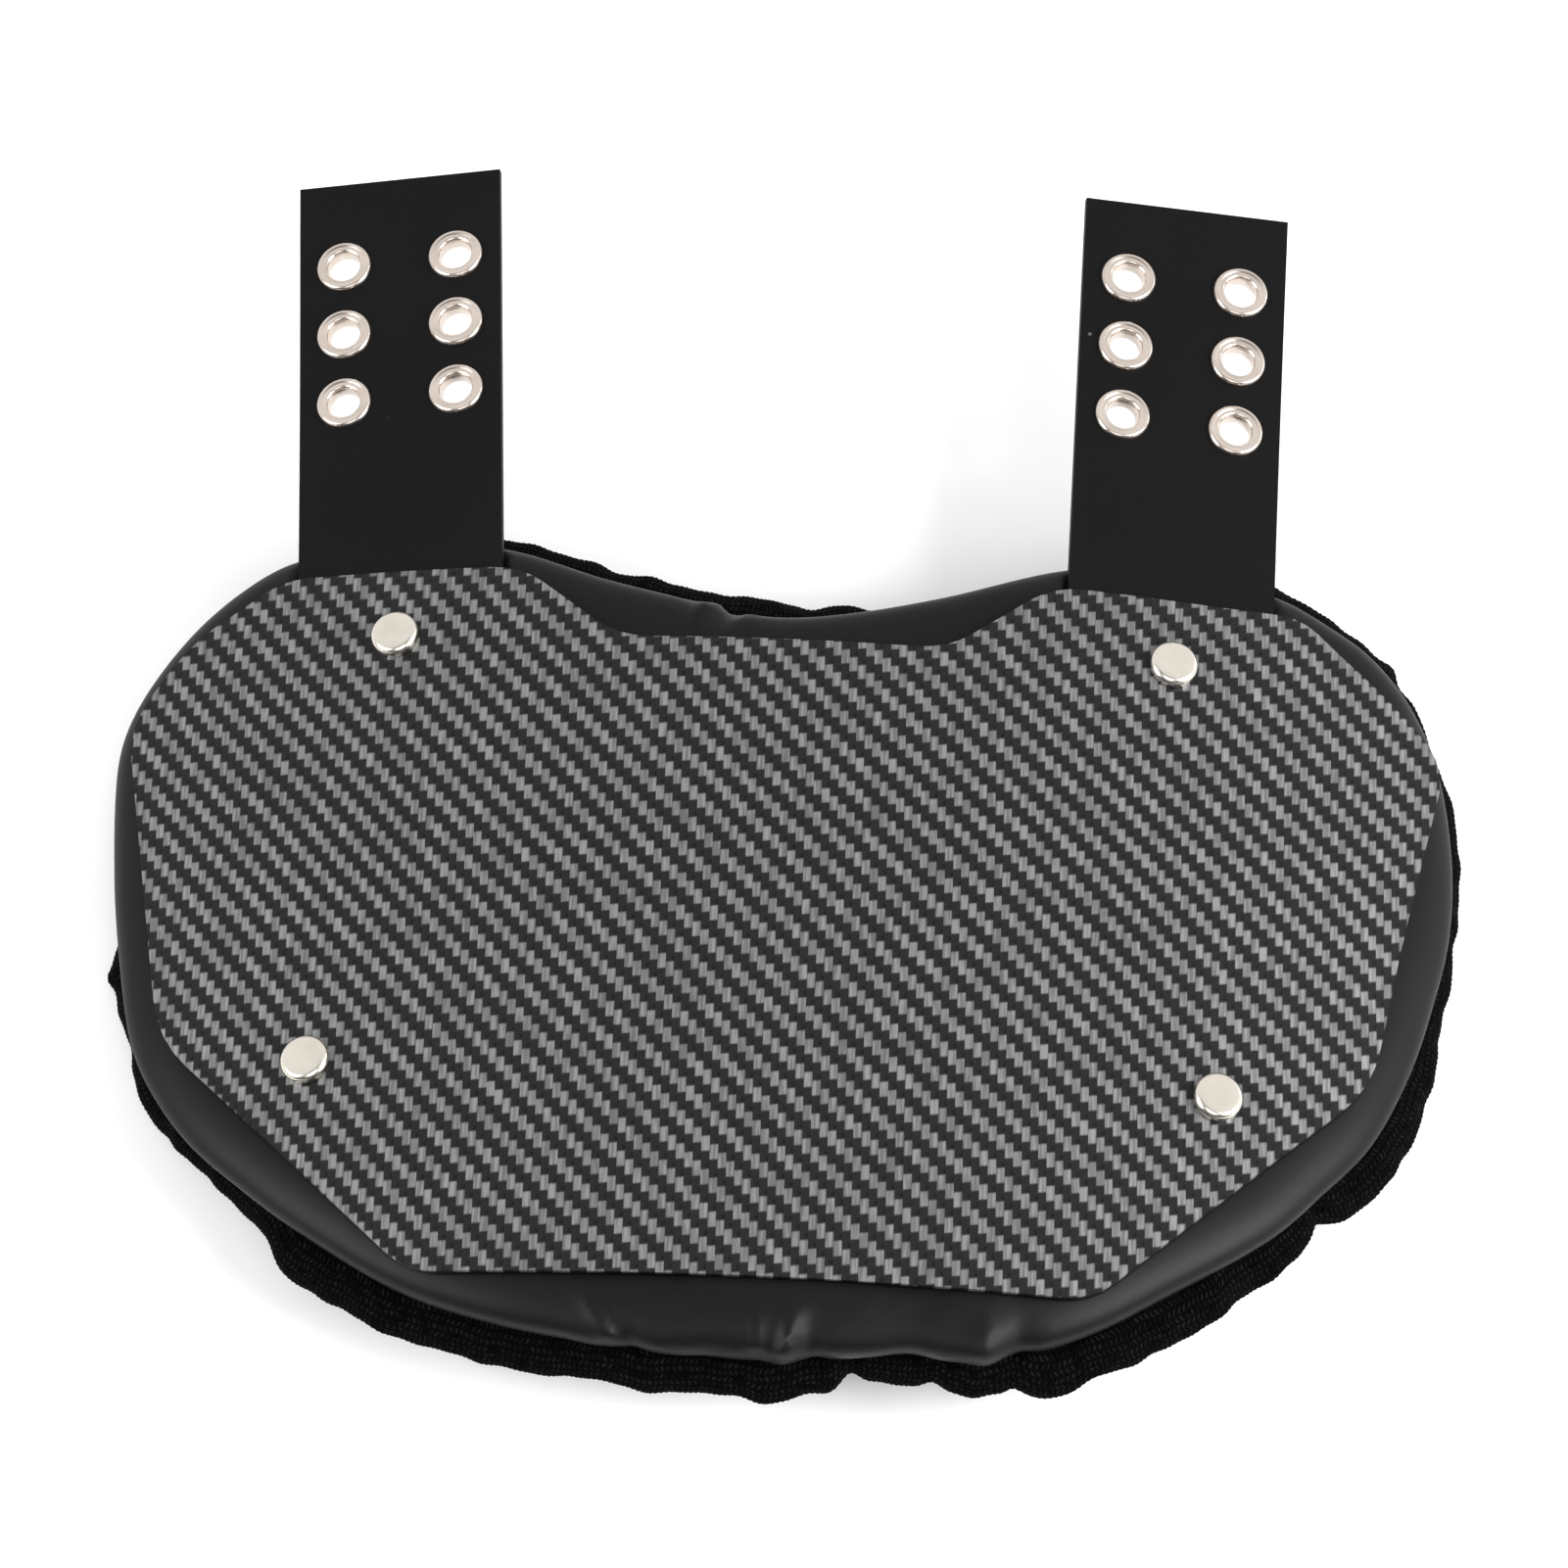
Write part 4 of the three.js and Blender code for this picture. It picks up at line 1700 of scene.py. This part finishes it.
def gathered(turn: np.ndarray, length: float, ruffles: Sequence[Ruffle]) -> np.ndarray:
    """How far gathers stand out round the rim.

    Args:
        turn: Shares of the way round.
        length: Length of the rim.
        ruffles: The gathers.

    Returns:
        Reach at each share.
    """
    total = np.zeros(len(turn))
    for ruffle in ruffles:
        off = (turn % 1.0 - ruffle.turn) * length
        total += ruffle.reach * np.exp(-((off / ruffle.width) ** 2))
    return total


@dataclass(frozen=True)
class Fold:
    """Soft ridge or crease in the pad's cover.

    Attributes:
        start: Across and along where it starts, as shares of the pad's half width and length.
        end: Where it ends, likewise.
        width: Half of its width.
        rise: Height of the ridge, or depth of the crease below 0.
    """

    start: Pair
    end: Pair
    width: float
    rise: float


@dataclass(frozen=True)
class Slack:
    """Stretch of the pad's rim where the cover has cloth to spare.

    Attributes:
        turn: Its middle, as a share of the way round from the notch.
        reach: How far from its middle the spare cloth has died away.
    """

    turn: float
    reach: float


@dataclass(frozen=True)
class ClothRest:
    """How the loose stretches of a cover settle over the foam that pushes them out.

    Attributes:
        frames: Steps of the simulation.
        pressure: Push of the foam.
        spare: Cloth to spare, as a share of its length.
        mass: Mass at each point.
        tension: Stiffness against stretching and squeezing.
        bending: Stiffness against bending.
        cap: How far a point may move.
        still: Moves shorter than this count as this, in metres.
    """

    frames: int = 20
    pressure: float = 40.0
    spare: float = 0.4
    mass: float = 0.001
    tension: float = 3.0
    bending: float = 0.0005
    cap: float = 2.4
    still: float = 1e-9

    def settle(self, bench: Bench, loose: np.ndarray) -> None:
        """Lets the loose points settle and keeps the rest where it is.

        Args:
            bench: The closed cover.
            loose: 1 where the cover is free and 0 where it is held.
        """
        piece, before = bench.piece, bench.places()
        for name, weights in (("held", 1.0 - loose), ("slack", loose)):
            group = piece.vertex_groups.new(name=name)
            for index in np.flatnonzero(weights > 0.0):
                group.add([int(index)], float(weights[index]), "REPLACE")
        cloth = piece.modifiers.new("cloth", "CLOTH")
        settings = cloth.settings
        settings.mass = self.mass
        settings.tension_stiffness = settings.compression_stiffness = self.tension
        settings.bending_stiffness = self.bending
        settings.use_pressure = True
        settings.uniform_pressure_force = self.pressure
        settings.vertex_group_mass = "held"
        settings.vertex_group_shrink = "slack"
        settings.shrink_min, settings.shrink_max = 0.0, -self.spare
        settings.effector_weights.gravity = 0.0
        cloth.collision_settings.use_collision = False
        cloth.point_cache.frame_start, cloth.point_cache.frame_end = 1, self.frames
        scene = bpy.context.scene
        for step in range(1, self.frames + 1):
            scene.frame_set(step)
        bench.take()
        bpy.ops.object.modifier_apply(modifier=cloth.name)
        scene.frame_set(1)
        far = np.linalg.norm(bench.places() - before, axis=1)
        keep = np.minimum(1.0, self.cap * MM / np.maximum(far, self.still))
        bench.reshape(lambda places: before + (places - before) * keep[:, None])
        log.info("cover moved by %.2f mm at most before its cap", far.max() / MM)
        piece.vertex_groups.clear()


@dataclass
class PadCushion:
    """Foam pad in its smooth cover, pressed flat under the plate and the straps.

    Attributes:
        arch: Arch that it lies on.
        outline: Its outline.
        planes: The straps that press on it.
        finish: Its finish.
        segments: Faces round its rim.
        rings: Faces from the middle of its outer face to that of its inner one.
        crease: Edges that turn more than this show, in degrees.
        strap_thickness: Thickness of the straps, in millimetres.
        clearance: Room left under them.
        strap_slope: Slope with which the cover rises beside them.
        section: Section of its rim.
        outer_blend: Turns round the rim between which its outer side starts.
        rest: How its loose stretches settle.
        loose_inset: How far inside the outline a loose stretch has its middle.
        loose_band: Width of a loose stretch from the rim inwards.
        loose_side: Heights over the inner face between which the cover comes free.
        slack: Its loose stretches.
        folds: Folds and creases on its outer face.
        gathers: Gathers in its rim.
    """

    arch: Arch
    outline: PadOutline
    planes: tuple[StrapPlane, ...]
    finish: CoverNylon = field(default_factory=CoverNylon)
    segments: int = 640
    rings: int = 44
    crease: float = 60.0
    strap_thickness: float = 2.0
    clearance: float = 0.5
    strap_slope: float = 0.9
    section: Section = Section(top=-2.9, thickness=12.9, top_round=15.0, under_round=6.0)
    outer_blend: Pair = (-0.4, 0.4)
    rest: ClothRest = ClothRest()
    loose_inset: float = 4.0
    loose_band: float = 26.0
    loose_side: Pair = (1.5, 5.0)
    slack: tuple[Slack, ...] = (
        Slack(0.4964, 48.0),
        Slack(0.4457, 22.0),
        Slack(0.9857, 22.0),
    )
    folds: tuple[Fold, ...] = (
        Fold((-0.14, 0.85), (-0.118, 0.905), 2.4, 1.9),
        Fold((-0.1, 0.855), (-0.083, 0.91), 2.0, -2.2),
        Fold((-0.06, 0.86), (-0.055, 0.91), 2.6, 1.2),
        Fold((0.075, 0.062), (0.052, -0.005), 1.9, 2.2),
        Fold((0.1, 0.05), (0.085, -0.005), 2.0, -1.8),
        Fold((0.012, 0.058), (0.016, -0.005), 1.5, 1.4),
        Fold((0.035, 0.05), (0.036, -0.005), 1.6, -1.2),
        Fold((-0.235, 0.075), (-0.185, 0.012), 1.9, 1.5),
        Fold((-0.21, 0.055), (-0.16, 0.008), 2.0, -1.4),
        Fold((0.335, 0.06), (0.318, 0.004), 3.0, 1.5),
        Fold((0.39, 0.07), (0.365, 0.014), 3.0, -1.2),
    )
    gathers: tuple[Ruffle, ...] = (
        Ruffle(0.545, 5.0, 0.5),
        Ruffle(0.534, 3.4, -0.9),
        Ruffle(0.5154, 5.0, -0.6),
        Ruffle(0.4964, 3.6, 1.3),
        Ruffle(0.488, 3.0, -0.9),
        Ruffle(0.4644, 7.0, -1.5),
        Ruffle(0.4457, 4.0, 1.3),
        Ruffle(0.436, 4.0, -1.1),
        Ruffle(0.9857, 3.4, 1.0),
        Ruffle(0.9915, 3.0, -1.2),
    )

    def build(self) -> bpy.types.Object:
        """Builds and dresses the pad."""
        rim = self.outline.rim()
        bench = Bench.grid("pad_cover", self.segments, self.rings)
        bench.reshape(lambda cloth: self.drawn(cloth, rim))
        bench.merge()
        bench.face_out()
        self.rest.settle(bench, self.loose(bench.places(), rim))
        bench.smooth(self.crease)
        piece = bench.hand_over("pad", self.finish.material(), "pad_cushion")
        return piece

    def drawn(self, cloth: np.ndarray, rim: Rim) -> np.ndarray:
        """Draws the square cloth out into the pad.

        Args:
            cloth: Places on the cloth.
            rim: Outline of the pad.

        Returns:
            Places on the pad, in metres.
        """
        turn, way = cushion_places(cloth)
        point, out, _ = rim.at(turn)
        point = point + out * gathered(turn, rim.length, self.gathers)[:, None]
        run, start, inset, height, lift = self.section.lay(way)
        flat = rim.rings(point, out, run, -start, -inset)
        outer = smoothstep(*self.outer_blend, lift)
        height = height + outer * self.folded(flat)
        places = self.arch.lay(flat[:, 0], flat[:, 1], height)
        return self.pressed(places, outer)

    def loose(self, places: np.ndarray, rim: Rim) -> np.ndarray:
        """Where the cover is free to wrinkle: the rim's outer side along its slack stretches.

        Args:
            places: Places on the pad, in metres.
            rim: Outline of the pad.

        Returns:
            1 where it is free and 0 where plate, straps or liner hold it.
        """
        across, along, height = self.arch.read(places)
        flat = np.stack([across, along], axis=1)
        free = np.zeros(len(places))
        under = self.section.top - self.section.thickness
        held, clear = self.loose_side
        side = smoothstep(under + held, under + clear, height)
        for slack in self.slack:
            middle, out, _ = rim.at(np.array([slack.turn]))
            off = np.linalg.norm(flat - middle + out * self.loose_inset, axis=1)
            near = 1.0 - smoothstep(slack.reach / 2, slack.reach, off)
            inward = (middle - flat) @ out[0]
            band = 1.0 - smoothstep(self.loose_band / 2, self.loose_band, inward)
            free = np.maximum(free, near * band)
        return free * side

    def folded(self, flat: np.ndarray) -> np.ndarray:
        """Height that the folds add.

        Args:
            flat: Across and along of each point.

        Returns:
            Height of each point.
        """
        rise = np.zeros(len(flat))
        for fold in self.folds:
            start = np.array(self.outline.flat(*fold.start))
            way = np.array(self.outline.flat(*fold.end)) - start
            share = np.clip((flat - start) @ way / (way @ way), 0.0, 1.0)
            off = np.linalg.norm(flat - start - share[:, None] * way, axis=1)
            rise += fold.rise * share * np.exp(-((off / fold.width) ** 2))
        return rise

    def pressed(self, places: np.ndarray, outer: np.ndarray) -> np.ndarray:
        """Presses the outer face down under the straps.

        Args:
            places: Places on the pad, in metres.
            outer: 1 on the outer face and 0 on the inner one.

        Returns:
            Places with room for the straps.
        """
        for plane in self.planes:
            aside, run, out = plane.local(places).T
            past = np.maximum(plane.low[0] / MM - aside, aside - plane.high[0] / MM)
            behind = plane.low[1] / MM - run
            away = np.maximum(np.maximum(past, behind), 0.0)
            limit = -(self.strap_thickness + self.clearance) + self.strap_slope * away
            sink = np.maximum(out - limit, 0.0) * outer
            places = places - np.array(plane.out) * (sink * MM)[:, None]
        return places


@dataclass
class MeshLiner:
    """Coarse knit back layer, gathered at its rim and flat where it rests on the floor.

    Attributes:
        arch: Arch that it lies on.
        outline: Outline of the pad that it backs.
        finish: Its finish.
        segments: Faces round its rim.
        rings: Faces from the middle of its outer face to that of its inner one.
        crease: Edges that turn more than this show, in degrees.
        reach: How far it stands out past the pad, in millimetres.
        section: Section of its rim.
        map_flat: Length on the map of its flat part, in millimetres.
        map_stretch: How much the map is stretched over the rim.
        waves: Waves of its rim in and out.
        sways: Waves of its rim up and down.
        ruffles: Gathers in its rim.
        stitch_depth: Depth of the stitches.
    """

    arch: Arch
    outline: PadOutline
    finish: Knit = field(default_factory=Knit)
    segments: int = 1500
    rings: int = 58
    crease: float = 70.0
    reach: float = 10.0
    section: Section = Section(
        top=-16.2,
        thickness=11.0,
        top_round=13.0,
        under_round=7.0,
        squareness=2.1,
        outer_share=0.08,
        rim_share=0.84,
    )
    map_flat: float = 22.0
    map_stretch: float = 1.25
    waves: tuple[Wave, ...] = (
        Wave(23, 0.35, 0.4),
        Wave(41, 0.3, 2.1),
        Wave(67, 0.22, 4.0),
        Wave(113, 0.14, 1.2),
    )
    sways: tuple[Wave, ...] = (Wave(31, 0.8, 1.0), Wave(53, 0.6, 0.0))
    ruffles: tuple[Ruffle, ...] = (
        Ruffle(0.5005, 6.0, 1.2),
        Ruffle(0.4787, 3.4, -3.8),
        Ruffle(0.4575, 3.0, -2.4),
        Ruffle(0.4465, 4.0, 2.0),
        Ruffle(0.4372, 2.6, -1.6),
        Ruffle(0.429, 4.0, 0.8),
        Ruffle(0.1758, 3.4, 2.8),
        Ruffle(0.3425, 3.0, -1.8),
        Ruffle(0.5325, 5.0, 1.0),
        Ruffle(0.5558, 5.0, -0.9),
        Ruffle(0.7333, 2.2, 1.3),
    )
    stitch_depth: float = 0.34

    def build(self) -> bpy.types.Object:
        """Builds and dresses the liner."""
        rim = self.outline.rim()
        bench = Bench.grid("liner_knit", self.segments, self.rings)
        chart: list[np.ndarray] = []
        bench.reshape(lambda cloth: self.drawn(cloth, rim, chart))
        bench.lay_map(self.finish.chart, chart[0] * MM)
        bench.merge()
        bench.face_out()
        bench.smooth(self.crease)
        piece = bench.hand_over("liner", self.finish.material(), "mesh_liner")
        return piece

    def drawn(self, cloth: np.ndarray, rim: Rim, chart: list[np.ndarray]) -> np.ndarray:
        """Draws the square cloth out into the liner.

        Args:
            cloth: Places on the cloth.
            rim: Outline of the pad.
            chart: Takes the map, lengths round and over the rim.

        Returns:
            Places on the liner, in metres.
        """
        whole_turn, way = cushion_places(cloth)
        turn = whole_turn % 1.0
        point, out, proud = rim.at(turn)
        run, start, inset, height, lift = self.section.lay(way)
        pair = 2 * self.finish.stitch
        pairs = round(rim.length / pair)
        over = (way - 0.5) * self.map_stretch * (self.section.thickness + self.map_flat)
        chart.append(np.stack([whole_turn * pairs * pair, over], axis=1))
        stand = proud * self.reach + waved(turn, self.waves)
        stand = stand + gathered(turn, rim.length, self.ruffles)
        side = np.clip(1.0 - np.abs(lift), 0.0, 1.0) ** 0.5
        relief = self.stitch_depth * side * self.stitches(turn * pairs * pair, over)
        flat = rim.rings(point, out, run, stand - start, stand - inset + relief)
        height = height + side * waved(turn, self.sways)
        places = self.arch.lay(flat[:, 0], flat[:, 1], height)
        places[:, 2] = np.maximum(places[:, 2], 0.0)
        return places

    def stitches(self, around: np.ndarray, over: np.ndarray) -> np.ndarray:
        """Relief of the stitches.

        Args:
            around: Lengths round the rim, in millimetres.
            over: Lengths over its edge.

        Returns:
            Relief at each point, from -1 to 1.
        """
        row = np.floor(over / self.finish.row)
        inside = over / self.finish.row - row
        lean = np.where(row % 2 > 0, self.finish.lean, -self.finish.lean)
        shift = self.finish.shift * row
        wave = np.cos(FULL_TURN * (around / self.finish.stitch + lean * inside + shift))
        return wave * np.sin(np.pi * inside)


@dataclass(frozen=True)
class Softbox:
    """Round soft light, turned towards the piece.

    Attributes:
        name: Its name.
        place: Where it hangs, in metres.
        size: Its width.
        power: Its power, in watts.
    """

    name: str
    place: Triple
    size: float
    power: float

    def hang(self) -> None:
        """Hangs it in the scene."""
        lamp = bpy.data.lights.new(self.name, "AREA")
        lamp.shape = "DISK"
        lamp.size = self.size
        lamp.energy = self.power
        holder = bpy.data.objects.new(self.name, lamp)
        holder.location = self.place
        holder.rotation_euler = (-Vector(self.place)).to_track_quat("-Z", "Y").to_euler()
        bpy.context.scene.collection.objects.link(holder)


@dataclass
class Studio:
    """Pale floor, soft lights and the camera at the photograph's angle.

    Attributes:
        arch: Arch of the plate that the camera looks at.
        floor_reach: Width of the floor, in metres.
        paper: Colour of the floor.
        paper_light: Its colour where it is lightest.
        paper_grain: Grains of that in a metre.
        paper_rough: Roughness of the floor.
        elevation: Height angle of the camera, in degrees.
        azimuth: Its turn to the right.
        roll: Its turn round its own axis.
        distance: Its distance, in metres.
        aside: How far it stands aside, in metres.
        raised: How far it is raised.
        lens: Its focal length, in millimetres.
        aim_along: Length from the plate's bottom edge that it aims at, in millimetres.
        air_near: Strength of the air on the near side.
        air_far: Its strength on the far side.
        air_turn: Directions between which it changes, -1 for near and 1 for far.
        lamps: The lights.
    """

    arch: Arch
    floor_reach: float = 6.0
    paper: Triple = (0.9, 0.9, 0.9)
    paper_light: Triple = (0.92, 0.92, 0.92)
    paper_grain: float = 3.0
    paper_rough: float = 0.8
    elevation: float = 63.0
    azimuth: float = 3.61
    roll: float = -0.95
    distance: float = 1.37
    aside: float = 0.0024
    raised: float = -0.0001
    lens: float = 120.1
    aim_along: float = 138.0
    air_near: float = 0.12
    air_far: float = 1.0
    air_turn: Pair = (-0.35, 0.45)
    lamps: tuple[Softbox, ...] = (
        Softbox("right_softbox", (1.5, -0.45, 1.1), 1.2, 54.0),
        Softbox("left_softbox", (-1.5, -0.55, 1.1), 1.2, 32.0),
        Softbox("top_softbox", (0.1, -1.1, 1.5), 1.2, 8.0),
        Softbox("right_strip", (1.6, 0.75, 0.35), 0.5, 2.0),
    )

    def build(self) -> None:
        """Sets the floor, the lights and the camera."""
        self.floor()
        self.lights()
        self.camera()

    def floor(self) -> None:
        """Lays the floor under the piece."""
        bpy.ops.object.select_all(action="DESELECT")
        bpy.ops.mesh.primitive_plane_add(size=self.floor_reach)
        floor = Bench.started("studio_floor")
        sheet = Sheet.finish("studio_floor", Specular_IOR_Level=0.2)
        paper = sheet.noise(sheet.place(), self.paper_grain, 2.0)
        sheet.vary(
            Base_Color=sheet.blend(paper, self.paper, self.paper_light),
            Roughness=paper * 0.1 + self.paper_rough,
        )
        floor.piece.data.materials.append(sheet.material)

    def lights(self) -> None:
        """Sets the air's strength and hangs the soft lights."""
        scene = bpy.context.scene
        scene.world = bpy.data.worlds.new("studio_air")
        air = Sheet(scene.world, "Background", Color=(1.0, 1.0, 1.0, 1.0))
        way = air.split(air.add("ShaderNodeTexCoord", give="Generated"))
        far = way.beside("Y").ramp(*self.air_turn)
        air.vary(Strength=far * (self.air_far - self.air_near) + self.air_near)
        scene.view_settings.view_transform = "Standard"
        for lamp in self.lamps:
            lamp.hang()

    def camera(self) -> None:
        """Stands the camera where the photograph was taken from."""
        lift, side = math.radians(self.elevation), math.radians(self.azimuth)
        flat = math.cos(lift)
        back = Vector((math.sin(side) * flat, -math.cos(side) * flat, math.sin(lift)))
        right = Vector((0.0, 0.0, 1.0)).cross(back).normalized()
        up = back.cross(right)
        roll = math.radians(self.roll)
        turned_right = math.cos(roll) * right + math.sin(roll) * up
        turned_up = math.cos(roll) * up - math.sin(roll) * right
        aim = Vector((self.arch.middle, self.arch.bottom + self.aim_along * MM, self.arch.top))
        camera = bpy.data.cameras.new("photo_camera")
        camera.sensor_fit = "HORIZONTAL"
        camera.lens = self.lens
        holder = bpy.data.objects.new("photo_camera", camera)
        turn = Matrix((turned_right, turned_up, back)).transposed().to_4x4()
        shift = turned_right * self.aside + turned_up * self.raised + back * self.distance
        holder.matrix_world = Matrix.Translation(aim + shift) @ turn
        bpy.context.scene.collection.objects.link(holder)
        bpy.context.scene.camera = holder


def main() -> None:
    """Builds the back plate piece by piece."""
    logging.basicConfig(level=logging.INFO, format="%(name)s: %(message)s")
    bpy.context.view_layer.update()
    arch = Arch.of_plate()
    Studio(arch).build()
    outline = PadOutline()
    planes = tuple(StrapPlane.of_node(side) for side in Side)
    OuterPlate(arch).build()
    Straps().build()
    Hardware(arch).build()
    PadCushion(arch, outline, planes).build()
    MeshLiner(arch, outline).build()


if __name__ == "__main__":
    main()
